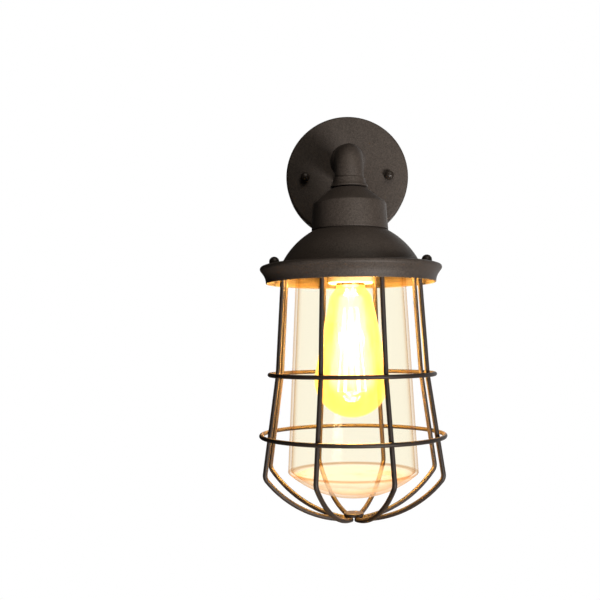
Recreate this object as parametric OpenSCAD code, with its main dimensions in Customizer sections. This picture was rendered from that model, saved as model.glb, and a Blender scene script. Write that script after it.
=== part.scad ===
// Cage wall light: a round backplate, an elbow arm, a spun hood, a clear jar and a wire cage round it.
// +Z is up, the wall is the plane y = 0 and the light stands out from it towards -Y.
// The origin is the centre of the backplate's rear face, at the height of the arm's axis.

/* [Backplate] */
// Diameter of the backplate
canopy_d = 120; // [112:1:150]
// Distance from the wall to the backplate's face
canopy_depth = 20; // [17:0.5:30]
// Thickness of the backplate's sheet
canopy_wall = 1.2; // [0.8:0.1:1.8]
// Radius of the edge round the backplate's face
canopy_edge_r = 2.4; // [2:0.2:5]
// Distance between the two ball nuts on the backplate
canopy_nut_pitch = 82.5; // [76:0.5:92]
// Thickness of the foam ring between the backplate and the wall
wall_gasket_t = 1.5; // [1:0.1:2.5]
// Width of the foam ring
wall_gasket_w = 5; // [3:0.5:6]

/* [Wall bracket] */
// Thickness of the bracket's plate
bracket_t = 1.8; // [1.5:0.1:2.5]
// Width of the bracket's arms
bracket_w = 16; // [13:0.5:20]
// Distance between the centres of the two slots for the wall box
slot_pitch = 79.4; // [70:0.1:82]
// Length of a slot from end to end
slot_length = 13.9; // [8:0.1:15]
// Width of a slot
slot_w = 4.4; // [4:0.1:5]
// Diameter of the wire hole in the middle of the bracket
bracket_hole_d = 12; // [8:0.5:14]
// Distance of the earth screw above the bracket's middle
ground_screw_z = 15; // [13:0.5:18]

/* [Studs and ball nuts] */
// Diameter of the studs and of the small screws
stud_d = 4.1; // [3.5:0.1:5]
// Length of stud that stands inside a ball nut
stud_grip = 3.6; // [2.5:0.1:3.8]
// Diameter of a ball nut
ball_d = 9; // [8:0.1:12]
// Height of the straight foot of a ball nut
ball_foot = 3.2; // [1:0.1:4]
// Width across the flats of a stud's lock nut
stud_nut_af = 8.7; // [8:0.1:10]
// Thickness of a stud's lock nut
stud_nut_t = 3.2; // [2:0.1:4]
// Distance between the two ball nuts on the hood's flange
hood_nut_pitch = 131.4; // [131:0.2:133]
// Thickness of the washer under a ball nut of the flange
hood_washer_t = 0.8; // [0.6:0.1:1.2]

/* [Arm and elbow] */
// Distance from the backplate's face to the lamp's axis
arm_reach = 97; // [75:1:140]
// Outer diameter of the arm pipe
arm_d = 21.3; // [19:0.1:22]
// Diameter of the wire bore in the pipe and its threaded end
arm_bore_d = 12.4; // [9:0.1:13]
// Diameter of the pipe's threaded end in the backplate
arm_thread_d = 16; // [15:0.1:17.5]
// Outer diameter of the elbow's tube
elbow_d = 25.2; // [24.5:0.1:28]
// Radius of the elbow's bend, at the middle of the tube
elbow_bend_r = 14.5; // [14:0.5:16]
// Distance from the bend's centre lines to the face of either collar
elbow_reach = 28.9; // [27:0.1:40]
// Length of a collar, from its ridge to its face
collar_length = 7.4; // [5:0.1:8]
// Height of the ridge at the start of a collar
collar_ridge = 1.3; // [0.8:0.1:2]
// Diameter of a collar's face
collar_d = 32.8; // [30:0.1:36]
// Depth that the arm pipe goes into the elbow
arm_socket_depth = 12; // [8:0.5:12]
// Width across the flats of the arm's lock nut
arm_nut_af = 22; // [20:0.5:26]
// Thickness of the arm's lock nut
arm_nut_t = 4; // [3:0.5:5]
// Thickness of the arm's lock washer
arm_washer_t = 1.2; // [0.8:0.1:1.5]

/* [Neck] */
// Diameter of the threaded neck tube
nipple_d = 13; // [11:0.1:14]
// Diameter of the wire bore in the neck tube
nipple_bore_d = 9; // [6:0.1:9.5]
// Length of the tube that is screwed into the elbow
nipple_grip = 8; // [5:0.5:9]
// Thickness of the washer between the elbow and the cup
neck_washer_t = 1.3; // [0.8:0.1:2]
// Diameter of that washer
neck_washer_d = 26.4; // [20:0.2:28]
// Width across the flats of the neck tube's lock nut
nipple_nut_af = 17.5; // [16:0.5:18]
// Thickness of the neck tube's lock nut
nipple_nut_t = 4; // [3:0.5:5]
// Thickness of the neck tube's lock washer
nipple_washer_t = 1; // [0.6:0.1:1.4]

/* [Cup] */
// Height of the cup
cup_h = 36.3; // [30:0.1:46]
// Diameter of the cup's flat top
cup_top_d = 31; // [28:0.5:34]
// Height of the cup's conical shoulder
cup_shoulder_h = 12.9; // [8:0.1:18]
// Diameter of the cup below its shoulder
cup_shoulder_d = 63; // [58:0.5:65]
// Diameter of the cup's mouth
cup_mouth_d = 66.2; // [65.5:0.1:72]
// Thickness of the sheet of cup and hood
hood_wall = 1.2; // [0.8:0.1:1.5]

/* [Hood] */
// Height of the dome from the cup's mouth to the flange
dome_h = 30; // [22:0.1:36]
// Diameter of the dome at the flange
dome_d = 120; // [115:0.2:120.2]
// Radius of the dome's curve
dome_curve_r = 66; // [60:1:140]
// Height of the rim from the flange to the skirt's lower edge
rim_h = 15.6; // [15:0.1:24]
// Diameter where the flat of the flange would end in an edge
flange_d = 147.8; // [146:0.2:149]
// Diameter where the rim's bead would come to a point
bead_d = 159; // [157:0.2:164]
// Distance of the bead below the flange
bead_drop = 1.9; // [1.4:0.1:3]
// Diameter of the skirt's lower edge
skirt_d = 145.8; // [144.6:0.2:150]

/* [Cage] */
// Diameter of the ribs' wire
rib_wire_d = 4; // [3:0.1:4.2]
// Diameter of the rings' wire
ring_wire_d = 3.6; // [3:0.1:4.5]
// Radius of the ribs at the cage plate
rib_top_r = 61.1; // [60:0.1:62]
// Radius of the ribs at the upper ring
rib_ring_r = 66.7; // [64:0.1:70]
// Radius at which the ribs' straight flank would meet the bowl
rib_flank_r = 79; // [76:0.1:84]
// Distance from the flange to the upper ring
upper_ring_drop = 93.4; // [80:0.1:120]
// Distance from the flange to the lower ring
lower_ring_drop = 145.1; // [135:0.1:165]
// Distance from the flange to the underside of the cage
cage_drop = 217.8; // [217:0.1:240]
// Least distance from the jar's bottom to the underside of the cage
cage_clearance = 20; // [18:0.5:24]
// Radius of the cage's bowl, at the middle of the wire
bowl_r = 99.5; // [95:0.5:110]
// Radius of the tight bend between flank and bowl
rib_bend_r = 7.5; // [5:0.5:12]
// Distance of a rib's end from the cage's axis
rib_end_r = 5.4; // [5.4:0.1:7]
// Depth of the weld between a ring or the disc and the ribs
weld = 0.2; // [0.1:0.05:0.3]
// Diameter of the disc where the ribs meet
disc_d = 17; // [15:0.5:24]
// Thickness of that disc
disc_t = 3; // [2:0.1:4]
// Thickness of the cage plate
plate_t = 1.5; // [1.2:0.1:2]
// Outer diameter of the cage plate
plate_d = 140; // [139:0.2:141]
// Diameter of the hole that the jar hangs in
plate_hole_d = 100; // [98:0.2:101]
// Thickness of the seal between the hood's flange and the cage plate
hood_gasket_t = 1; // [0.8:0.1:1.5]
// Width of that seal
hood_gasket_w = 3; // [2:0.5:4]

/* [Jar] */
// Outer diameter of the jar below its lip
jar_top_d = 93.4; // [90:0.2:94]
// Outer diameter of the jar at its lower corner
jar_bottom_d = 110.6; // [100:0.2:112]
// Length of the jar from the top of its lip to its lower corner
jar_length = 177.7; // [170:0.1:180]
// Depth of the jar's bowl-shaped bottom
jar_bottom_h = 21; // [14:0.5:23]
// Thickness of the jar's glass
jar_wall = 2.5; // [2:0.1:3.5]
// Outer diameter of the jar's lip
jar_lip_d = 108; // [106:0.5:109]
// Thickness of the jar's lip
jar_lip_t = 2.6; // [2:0.1:3]
// Thickness of the soft ring under the jar's lip
glass_gasket_t = 0.8; // [0.6:0.1:1.2]

/* [Lampholder] */
// Diameter of the porcelain body
socket_d = 39; // [36:0.5:44]
// Height of the porcelain body
socket_h = 38; // [36:0.5:44]
// Thickness of the porcelain above the contact chamber
socket_floor_t = 10; // [6:0.5:10]
// Diameter of the porcelain body's chamber
socket_bore_d = 28; // [27.8:0.1:30]
// Thickness of the screw shell
shell_t = 0.4; // [0.3:0.1:0.6]
// Thickness of the strap above the lampholder
strap_t = 1.5; // [1:0.1:2]
// Width of the strap
strap_w = 18; // [17:0.5:22]
// Height of the strap's legs
strap_leg_h = 9.4; // [9:0.1:12]
// Distance between the two screws of the lampholder
socket_screw_pitch = 31; // [30:0.1:32]

/* [Bulb] */
// Greatest diameter of the bulb
bulb_d = 64; // [50:0.5:66]
// Length of the bulb from contact to tip
bulb_length = 140; // [130:0.5:150]
// Length of the bulb's screw cap with its contact
cap_length = 27; // [25:0.5:28]
// Diameter of the bulb's screw cap
cap_d = 26.4; // [26:0.1:26.6]
// Diameter of the glass neck in the cap
bulb_neck_d = 24.6; // [23:0.1:24.8]
// Half angle of the bulb's conical flank
flank_angle = 11.5; // [8:0.5:14]
// Thickness of the bulb's glass
bulb_wall = 0.8; // [0.6:0.1:1]
// Number of hooks that hold the filament at either end
hook_count = 6; // [4:1:8]
// Diameter of a filament strand
strand_d = 0.8; // [0.5:0.1:1.2]
// Length of the upright strands
strand_length = 72; // [50:1:76]
// Radius of the filament at its upper supports
strand_top_r = 6.5; // [5:0.5:8]
// Radius of the filament at its lower supports
strand_bottom_r = 12; // [8:0.5:14]

/* [Fits] */
// Radial clearance of a screw thread in its nut
thread_gap = 0.05; // [0.02:0.01:0.1]
// Radial clearance of a hole for a screw or a tube
hole_gap = 0.15; // [0.1:0.05:0.3]
// Clearance between a piece and its seat where they only just touch
seat_gap = 0.1; // [0.05:0.05:0.3]
// Radial clearance round a loose gasket or the jar
loose_gap = 0.3; // [0.2:0.1:0.5]

/* [Hidden] */
$fn = 96;
rib_count = 8;
arc_step = 6;
cut = 1;

paint = "#3b322d";
steel = "#9a9a9c";
zinc = "#b9b4a4";
brass = "#b8924a";
foam = "#2a2a2a";
silicone = "#d8d4cc";
porcelain = "#ece8df";
clear = "#dfe9ee55";
amber = "#e8a03c66";
glow = "#ffc860";

// Radii and thread sizes
canopy_r = canopy_d / 2;
lamp_y = -(canopy_depth + arm_reach);
stud_r = stud_d / 2;
thread_r = stud_r + thread_gap;
ball_r = ball_d / 2;
stud_x = canopy_nut_pitch / 2;
hood_nut_x = hood_nut_pitch / 2;
nipple_hole_r = nipple_d / 2 + hole_gap;
arm_hole_r = arm_thread_d / 2 + hole_gap;
bore_tip = 0.5;
thread_stub = 1;
strap_inner_w = nipple_nut_af / cos(30) + 0.9;

// Heights along the lamp's axis, from the arm's axis down
z_collar = -elbow_reach;
z_cup_top = z_collar - neck_washer_t;
z_cup_mouth = z_cup_top - cup_h;
z_flange = z_cup_mouth - seat_gap - dome_h;
z_skirt = z_flange - rim_h;
z_flange_under = z_flange - hood_wall;
z_plate = z_flange_under - hood_gasket_t;
z_plate_under = z_plate - plate_t;
z_lip_under = z_plate + glass_gasket_t;
z_jar_corner = z_lip_under + jar_lip_t - jar_length;
z_upper_ring = z_flange - upper_ring_drop;
z_lower_ring = z_flange - lower_ring_drop;
z_washer = z_flange + hood_washer_t;

// The dome's curve runs from the cup's mouth to the flange and on under the cup to a flat top
dome_start = [cup_mouth_d / 2 - hood_wall, z_cup_mouth - seat_gap];
dome_end = [dome_d / 2, z_flange];
dome_chord = dome_end - dome_start;
dome_side = [-dome_chord.y, dome_chord.x] / norm(dome_chord);
dome_centre = (dome_start + dome_end) / 2
    - dome_side * sqrt(dome_curve_r * dome_curve_r - dome_chord * dome_chord / 4);
dome_flat_margin = 6;
dome_flat_r = dome_start.x - dome_flat_margin;
z_dome_top = dome_centre.y + sqrt(dome_curve_r * dome_curve_r - pow(dome_flat_r - dome_centre.x, 2));

// Stack on the neck tube under the dome's flat top
z_strap = z_dome_top - hood_wall;
z_nipple_washer = z_strap - strap_t;
z_nipple_nut = z_nipple_washer - nipple_washer_t;
z_nipple_end = z_nipple_nut - nipple_nut_t - thread_stub;
z_socket_top = z_strap - strap_leg_h;
z_socket_floor = z_socket_top - socket_floor_t;
z_socket_mouth = z_socket_top - socket_h;
contact_drop = 2.4;
z_bulb_top = z_socket_floor - contact_drop - loose_gap;
z_bulb_bottom = z_bulb_top - bulb_length;

// Path of a rib at the middle of its wire: two straight flanks, a tight bend and the bowl
rib_r = rib_wire_d / 2;
ring_r = ring_wire_d / 2;
z_cage_bottom = min(z_flange - cage_drop, z_jar_corner - jar_bottom_h - cage_clearance);
z_bowl_centre = z_cage_bottom + rib_r + bowl_r;
rib_top = [rib_top_r, z_plate_under];
rib_knee = [rib_ring_r, z_upper_ring];
z_flank_end = z_bowl_centre - sqrt(bowl_r * bowl_r - rib_flank_r * rib_flank_r);
flank_slope = (rib_flank_r - rib_ring_r) / (z_upper_ring - z_flank_end);
flank_length = sqrt(1 + flank_slope * flank_slope);
// The bend's centre lies rib_bend_r inside the flank and bowl_r - rib_bend_r from the bowl's centre
bend_reach = bowl_r - rib_bend_r;
bend_a = rib_ring_r - rib_bend_r * flank_length + flank_slope * (z_upper_ring - z_bowl_centre);
bend_root = sqrt(pow(bend_a * flank_slope, 2) - flank_length * flank_length
    * (bend_a * bend_a - bend_reach * bend_reach));
bend_dz = (bend_a * flank_slope - bend_root) / (flank_length * flank_length);
bend_centre = [bend_a - flank_slope * bend_dz, z_bowl_centre + bend_dz];
bend_start = bend_centre + rib_bend_r * [1, flank_slope] / flank_length;
bend_start_angle = atan2(flank_slope, 1);
bowl_start_angle = atan2(bend_dz, bend_centre.x);
bowl_end_angle = -acos(rib_end_r / bowl_r);
// The flanks meet at the upper ring in a slight bend
knee_bend_r = 30;
joint_step = 0.02;
upper_slope = (rib_ring_r - rib_top_r) / (z_plate_under - z_upper_ring);
knee_start_angle = atan(upper_slope);
knee_turn = bend_start_angle - knee_start_angle;
knee_reach = knee_bend_r * tan(knee_turn / 2);
knee_start = rib_knee - knee_reach * [sin(knee_start_angle), -cos(knee_start_angle)];
knee_end = rib_knee + knee_reach * [sin(bend_start_angle), -cos(bend_start_angle)];
z_disc = z_bowl_centre - sqrt(bowl_r * bowl_r - disc_d * disc_d / 4) + rib_r - weld;

// Radius of the ribs at a height below the upper ring
function rib_radius(z) = rib_ring_r + flank_slope * (z_upper_ring - z);

function unit(v) = v / norm(v);

// Points of an arc from angle a to angle b
function arc(centre, r, a, b) =
    let (steps = max(2, ceil(abs(b - a) / arc_step)))
    [for (i = [0 : steps]) centre + r * [cos(a + (b - a) * i / steps), sin(a + (b - a) * i / steps)]];

// Points of the round that takes the place of corner q between p and s
function corner(p, q, s, r) =
    let (
        u = unit(p - q),
        v = unit(s - q),
        half = acos(u * v) / 2,
        centre = q + unit(u + v) * r / sin(half),
        from = q + u * r / tan(half) - centre,
        to = q + v * r / tan(half) - centre,
        a = atan2(from.y, from.x),
        turn = (atan2(to.y, to.x) - a + 540) % 360 - 180
    )
    arc(centre, r, a, a + turn);

// A path whose corner i is rounded with radii[i]
function rounded(path, radii) = [
    for (i = [0 : len(path) - 1])
        each (radii[i] > 0 ? corner(path[i - 1], path[i], path[i + 1], radii[i]) : [path[i]])
];

function side_of(p, q) =
    let (d = unit(q - p))
    [d.y, -d.x];

// The point at distance t on the right-hand side of point i of a path
function beside(path, i, t) =
    let (
        last = len(path) - 1,
        before = side_of(path[max(i - 1, 0)], path[max(i, 1)]),
        after = side_of(path[min(i, last - 1)], path[min(i + 1, last)]),
        both = before + after
    )
    path[i] + both * 2 * t / (both * both);

// Outline of a sheet of thickness t along the right-hand side of a path
function sheet(path, t) = concat(path, [for (i = [len(path) - 1 : -1 : 0]) beside(path, i, t)]);

function reversed(path) = [for (i = [len(path) - 1 : -1 : 0]) path[i]];

// Places a piece that is drawn along Z on an axis square to the wall, height becoming distance from it
module from_wall() {
    rotate([90, 0, 0]) children();
}

// Places a piece that is drawn round Z on the lamp's axis
module on_lamp() {
    translate([0, lamp_y, 0]) children();
}

// One copy on each side of the middle
module both_sides(x) {
    for (side = [-1, 1]) translate([side * x, 0, 0]) children();
}

module tube(r_out, r_in, z_low, z_high) {
    translate([0, 0, z_low]) difference() {
        cylinder(r = r_out, h = z_high - z_low);
        translate([0, 0, -cut]) cylinder(r = r_in, h = z_high - z_low + 2 * cut);
    }
}

module rod(r, z_low, z_high) {
    translate([0, 0, z_low]) cylinder(r = r, h = z_high - z_low);
}

module hex_nut(across_flats, bore_r, z_low, z_high) {
    translate([0, 0, z_low]) difference() {
        cylinder(r = across_flats / 2 / cos(30), h = z_high - z_low, $fn = 6);
        translate([0, 0, -cut]) cylinder(r = bore_r, h = z_high - z_low + 2 * cut);
    }
}

// Domed nut that stands on the plane z = 0 with a blind thread from below
module ball_nut() {
    top = ball_foot + ball_r;
    bore = stud_grip + bore_tip;
    rotate_extrude() polygon(concat(
        [[thread_r, 0], [ball_r, 0]],
        arc([0, ball_foot], ball_r, 0, 84),
        [[0, top], [0, bore], [thread_r, bore]]
    ));
}

// Backplate and what holds it

module wall_gasket() {
    outer = canopy_r - loose_gap;
    color(foam) from_wall() tube(outer, outer - wall_gasket_w, 0, wall_gasket_t);
}

module mounting_bracket() {
    end_margin = 4;
    reach_z = slot_pitch / 2 + slot_length / 2 + end_margin;
    reach_x = stud_x + stud_nut_af / 2 + end_margin / 2;
    slot_reach = slot_length / 2 - slot_w / 2;
    color(zinc) from_wall() difference() {
        union() {
            translate([-bracket_w / 2, -reach_z, 0]) cube([bracket_w, 2 * reach_z, bracket_t]);
            translate([-reach_x, -bracket_w / 2, 0]) cube([2 * reach_x, bracket_w, bracket_t]);
        }
        rod(bracket_hole_d / 2, -cut, bracket_t + cut);
        both_sides(stud_x) rod(thread_r, -cut, bracket_t + cut);
        translate([0, ground_screw_z, 0]) rod(thread_r, -cut, bracket_t + cut);
        for (side = [-1, 1]) translate([0, side * slot_pitch / 2, 0]) {
            translate([0, slot_reach, 0]) rod(slot_w / 2, -cut, bracket_t + cut);
            translate([0, -slot_reach, 0]) rod(slot_w / 2, -cut, bracket_t + cut);
            translate([-slot_w / 2, -slot_reach, -cut])
                cube([slot_w, 2 * slot_reach, bracket_t + 2 * cut]);
        }
    }
}

module bracket_studs() {
    color(steel) from_wall() both_sides(stud_x) rod(stud_r, seat_gap, canopy_depth + stud_grip);
}

module stud_locknuts() {
    color(zinc) from_wall() both_sides(stud_x)
        hex_nut(stud_nut_af, thread_r, bracket_t, bracket_t + stud_nut_t);
}

module ground_screw() {
    head_r = stud_d;
    head_t = stud_d * 0.6;
    slot_d = stud_d * 0.2;
    color("#3f7a45") from_wall() translate([0, ground_screw_z, 0]) difference() {
        union() {
            rod(stud_r, seat_gap, bracket_t);
            rod(head_r, bracket_t, bracket_t + head_t);
        }
        translate([-head_r, -slot_d / 2, bracket_t + head_t / 2]) cube([2 * head_r, slot_d, head_t]);
    }
}

module canopy() {
    path = rounded(
        [[arm_hole_r, canopy_depth], [canopy_r, canopy_depth], [canopy_r, wall_gasket_t]],
        [0, canopy_edge_r, 0]
    );
    color(paint) from_wall() difference() {
        rotate_extrude() polygon(sheet(path, canopy_wall));
        both_sides(stud_x) rod(stud_r + hole_gap, canopy_depth - canopy_wall - cut, canopy_depth + cut);
    }
}

module canopy_nuts() {
    color(paint) from_wall() both_sides(stud_x) translate([0, 0, canopy_depth]) ball_nut();
}

// Arm and elbow

arm_inside = canopy_depth - canopy_wall;
arm_end = canopy_depth + arm_reach - elbow_reach + arm_socket_depth;
arm_thread_end = arm_inside - arm_washer_t - arm_nut_t - thread_stub;

module arm_pipe() {
    r = arm_d / 2;
    bore = arm_bore_d / 2;
    thread = arm_thread_d / 2;
    color(paint) from_wall() rotate_extrude() polygon([
        [bore, arm_thread_end], [thread, arm_thread_end], [thread, canopy_depth], [r, canopy_depth],
        [r, arm_end - seat_gap], [bore, arm_end - seat_gap]
    ]);
}

module arm_lockwasher() {
    color(zinc) from_wall()
        tube(arm_nut_af / 2, arm_hole_r, arm_inside - arm_washer_t, arm_inside);
}

module arm_locknut() {
    z_high = arm_inside - arm_washer_t;
    color(zinc) from_wall() hex_nut(arm_nut_af, arm_thread_d / 2 + thread_gap, z_high - arm_nut_t, z_high);
}

// One leg of the elbow, drawn from the bend along +Z to the collar's face
module elbow_leg(core_r, hole_r, hole_depth) {
    r = elbow_d / 2;
    ridge = elbow_reach - collar_length;
    ridge_r = r + collar_ridge;
    face_r = collar_d / 2;
    flare = rounded(
        [
            [ridge_r, ridge],
            [ridge_r + collar_ridge * 0.25, ridge + collar_length / 2],
            [face_r, elbow_reach]
        ],
        [0, collar_length, 0]
    );
    rotate_extrude() polygon(concat(
        [[core_r, elbow_bend_r], [r, elbow_bend_r], [r, ridge - collar_ridge / 2]],
        flare,
        [[hole_r, elbow_reach], [hole_r, elbow_reach - hole_depth], [core_r, elbow_reach - hole_depth]]
    ));
}

elbow_wall = 3.4;
elbow_core_r = elbow_d / 2 - elbow_wall;

module elbow() {
    color(paint) on_lamp() union() {
        rotate([-90, 0, 0]) elbow_leg(elbow_core_r, arm_d / 2 + thread_gap, arm_socket_depth);
        rotate([180, 0, 0]) elbow_leg(elbow_core_r, nipple_d / 2 + thread_gap, nipple_grip + 1);
        translate([0, elbow_bend_r, -elbow_bend_r]) rotate([90, 0, -90])
            rotate_extrude(angle = 90) translate([elbow_bend_r, 0]) difference() {
                circle(r = elbow_d / 2);
                circle(r = elbow_core_r);
            }
    }
}

module neck_washer() {
    color("#1c1815") on_lamp() tube(neck_washer_d / 2, nipple_hole_r, z_cup_top, z_collar);
}

module neck_nipple() {
    color(zinc) on_lamp() tube(nipple_d / 2, nipple_bore_d / 2, z_nipple_end, z_collar + nipple_grip);
}

module nipple_lockwasher() {
    color(zinc) on_lamp()
        tube(nipple_nut_af / 2, nipple_hole_r, z_nipple_nut, z_nipple_washer);
}

module nipple_locknut() {
    color(zinc) on_lamp()
        hex_nut(nipple_nut_af, nipple_d / 2 + thread_gap, z_nipple_nut - nipple_nut_t, z_nipple_nut);
}

// Cup and hood

module socket_cup() {
    path = rounded(
        [
            [nipple_hole_r, z_cup_top],
            [cup_top_d / 2, z_cup_top],
            [cup_shoulder_d / 2, z_cup_top - cup_shoulder_h],
            [cup_mouth_d / 2, z_cup_mouth]
        ],
        [0, 2 * hood_wall, 2.5 * hood_wall, 0]
    );
    color(paint) on_lamp() rotate_extrude() polygon(sheet(path, hood_wall));
}

dome_path = arc(
    dome_centre,
    dome_curve_r,
    acos((dome_flat_r - dome_centre.x) / dome_curve_r),
    asin((dome_end.y - dome_centre.y) / dome_curve_r)
);

module hood() {
    waist = [skirt_d / 2 + 0.3, z_flange - rim_h * 0.69];
    flange_edge_r = 4 * hood_wall;
    bead_r = 2.1 * hood_wall;
    waist_r = rim_h * 0.85;
    rim = rounded(
        [
            dome_path[len(dome_path) - 2],
            dome_end,
            [flange_d / 2, z_flange],
            [bead_d / 2, z_flange - bead_drop],
            waist,
            [skirt_d / 2, z_skirt]
        ],
        [0, hood_wall, flange_edge_r, bead_r, waist_r, 0]
    );
    path = concat([[nipple_hole_r, z_dome_top]], [for (i = [0 : len(dome_path) - 3]) dome_path[i]], rim);
    color(paint) on_lamp() difference() {
        rotate_extrude() polygon(sheet(path, hood_wall));
        both_sides(hood_nut_x) rod(stud_r + hole_gap, z_flange_under - cut, z_flange + cut);
    }
}

module hood_gasket() {
    outer = hood_nut_x - stud_r - loose_gap;
    color(silicone) on_lamp() tube(outer, outer - hood_gasket_w, z_plate, z_flange_under);
}

module hood_washer(x) {
    color(steel) on_lamp() translate([x, 0, 0]) tube(ball_r + 0.3, stud_r + hole_gap, z_flange, z_washer);
}

module hood_nut(x) {
    color(paint) on_lamp() translate([x, 0, z_washer]) ball_nut();
}

// Lampholder

socket_step = 2;
socket_step_r = socket_d / 2 - socket_step;
socket_screw_x = socket_screw_pitch / 2;
screw_r = stud_r * 0.75;
screw_head_r = screw_r * 1.5;
screw_grip = socket_floor_t * 0.7;

module socket_bracket() {
    leg_x = strap_inner_w / 2 + strap_t;
    foot_x = socket_d / 2;
    z_foot = z_socket_top + strap_t;
    path = rounded(
        [
            [-foot_x, z_foot],
            [-leg_x, z_foot],
            [-leg_x, z_strap],
            [leg_x, z_strap],
            [leg_x, z_foot],
            [foot_x, z_foot]
        ],
        [0, strap_t / 2, 2 * strap_t, 2 * strap_t, strap_t / 2, 0]
    );
    color(zinc) on_lamp() difference() {
        intersection() {
            translate([0, strap_w / 2, 0]) rotate([90, 0, 0]) linear_extrude(height = strap_w)
                polygon(sheet(path, strap_t));
            rod(socket_step_r, z_socket_top - cut, z_strap + cut);
        }
        rod(nipple_hole_r, z_nipple_washer - cut, z_strap + cut);
        both_sides(socket_screw_x) rod(screw_r + hole_gap, z_socket_top - cut, z_foot + cut);
    }
}

module socket_screws() {
    z_seat = z_socket_top + strap_t;
    color(zinc) on_lamp() both_sides(socket_screw_x) {
        rod(screw_r, z_socket_top - screw_grip, z_seat);
        rod(screw_head_r, z_seat, z_seat + screw_r);
    }
}

module socket_body() {
    r = socket_d / 2;
    z_step = z_socket_floor - 2 * socket_step;
    path = rounded(
        [
            [0, z_socket_top],
            [socket_step_r, z_socket_top],
            [socket_step_r, z_step],
            [r, z_step - socket_step],
            [r, z_socket_mouth]
        ],
        [0, socket_step, 0, 0, 0]
    );
    color(porcelain) on_lamp() difference() {
        rotate_extrude() polygon(concat(path, [[0, z_socket_mouth]]));
        rod(socket_bore_d / 2, z_socket_mouth - cut, z_socket_floor);
        both_sides(socket_screw_x)
            rod(screw_r + thread_gap, z_socket_top - screw_grip - bore_tip, z_socket_top + cut);
    }
}

shell_r = socket_bore_d / 2 - seat_gap;

module socket_shell() {
    z_top = z_socket_floor - seat_gap;
    rim_r = shell_r * 0.72;
    lip = 1.5;
    path = rounded(
        [[rim_r, z_top], [shell_r, z_top], [shell_r, z_socket_mouth + lip]],
        [0, 2.5 * shell_t, 0]
    );
    color(brass) on_lamp() rotate_extrude() polygon(sheet(path, shell_t));
}

module socket_contact() {
    strip_t = 0.5;
    strip_w = 5;
    reach = shell_r * 0.5;
    z_low = z_socket_floor - contact_drop + strip_t;
    path = rounded(
        [[-reach, z_socket_floor], [-reach / 3, z_socket_floor], [reach / 3, z_low], [reach, z_low]],
        [0, 2 * strip_t, 2 * strip_t, 0]
    );
    color(brass) on_lamp() translate([0, strip_w / 2, 0]) rotate([90, 0, 0])
        linear_extrude(height = strip_w) polygon(sheet(path, strip_t));
}

// Cage

module cage_plate() {
    color(paint) on_lamp() tube(plate_d / 2, plate_hole_d / 2, z_plate_under, z_plate);
}

module cage_studs() {
    color(steel) on_lamp() both_sides(hood_nut_x) rod(stud_r, z_plate, z_washer + stud_grip);
}

// A straight wire from p to q, both given as radius and height in the plane of the rib
module straight_wire(p, q) {
    run = q - p;
    translate([p.x, 0, p.y]) rotate([0, 90 - atan2(run.y, run.x), 0]) cylinder(r = rib_r, h = norm(run));
}

// A bent wire round a centre in the plane of the rib, from angle a down to angle b
module bent_wire(centre, r, a, b) {
    translate([centre.x, 0, centre.y]) rotate([90, 0, 0]) rotate([0, 0, b])
        rotate_extrude(angle = a - b) translate([r, 0]) circle(r = rib_r);
}

// A band two hundredths thicker than the wire, where two stretches of it join
module wire_joint(p, angle) {
    translate([p.x, 0, p.y]) rotate([0, 90 - angle, 0])
        cylinder(r = rib_r + joint_step, h = 0.3, center = true);
}

module cage_rib(index) {
    knee_centre = knee_start + knee_bend_r * [cos(knee_start_angle), sin(knee_start_angle)];
    head = rib_top + rib_r * unit(rib_top - rib_knee);
    bowl_centre = [0, z_bowl_centre];
    bowl_start = bowl_centre + bowl_r * [cos(bowl_start_angle), sin(bowl_start_angle)];
    color(paint) on_lamp() rotate([0, 0, (index - 0.5) * 360 / rib_count]) difference() {
        union() {
            straight_wire(head, knee_start);
            straight_wire(knee_end, bend_start);
            bent_wire(knee_centre, knee_bend_r, 180 + bend_start_angle, 180 + knee_start_angle);
            bent_wire(bend_centre, rib_bend_r, bend_start_angle, bowl_start_angle);
            bent_wire(bowl_centre, bowl_r, bowl_start_angle, bowl_end_angle);
            wire_joint(knee_start, knee_start_angle + 90);
            wire_joint(knee_end, bend_start_angle + 90);
            wire_joint(bend_start, bend_start_angle + 90);
            wire_joint(bowl_start, bowl_start_angle + 90);
        }
        translate([rib_top_r - 4 * rib_r, -4 * rib_r, z_plate_under])
            cube([8 * rib_r, 8 * rib_r, 4 * rib_r]);
    }
}

// A ring that lies against the outside of the ribs
module cage_ring(z) {
    color(paint) on_lamp() translate([0, 0, z]) rotate_extrude()
        translate([rib_radius(z) + rib_r * flank_length + ring_r - weld, 0]) circle(r = ring_r);
}

module bottom_disc() {
    color(paint) on_lamp() rod(disc_d / 2, z_disc, z_disc + disc_t);
}

// Jar

// The jar's bottom is a shallow bowl that meets the flank in a crease
jar_bowl_r = (pow(jar_bottom_d / 2, 2) + jar_bottom_h * jar_bottom_h) / (2 * jar_bottom_h);
z_jar_bowl = z_jar_corner - jar_bottom_h + jar_bowl_r;
jar_crease_r = 2;

// Points from the crease down the bowl to the axis, at an inset from its outer face
function jar_bottom(inset) =
    let (r = jar_bowl_r - inset)
    concat(
        arc([0, z_jar_bowl], r, -acos((jar_bottom_d / 2 - inset) / r), -87),
        [[0, z_jar_bowl - r]]
    );

module glass_gasket() {
    color(silicone) on_lamp()
        tube(jar_lip_d / 2, plate_hole_d / 2, z_plate, z_lip_under);
}

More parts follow.
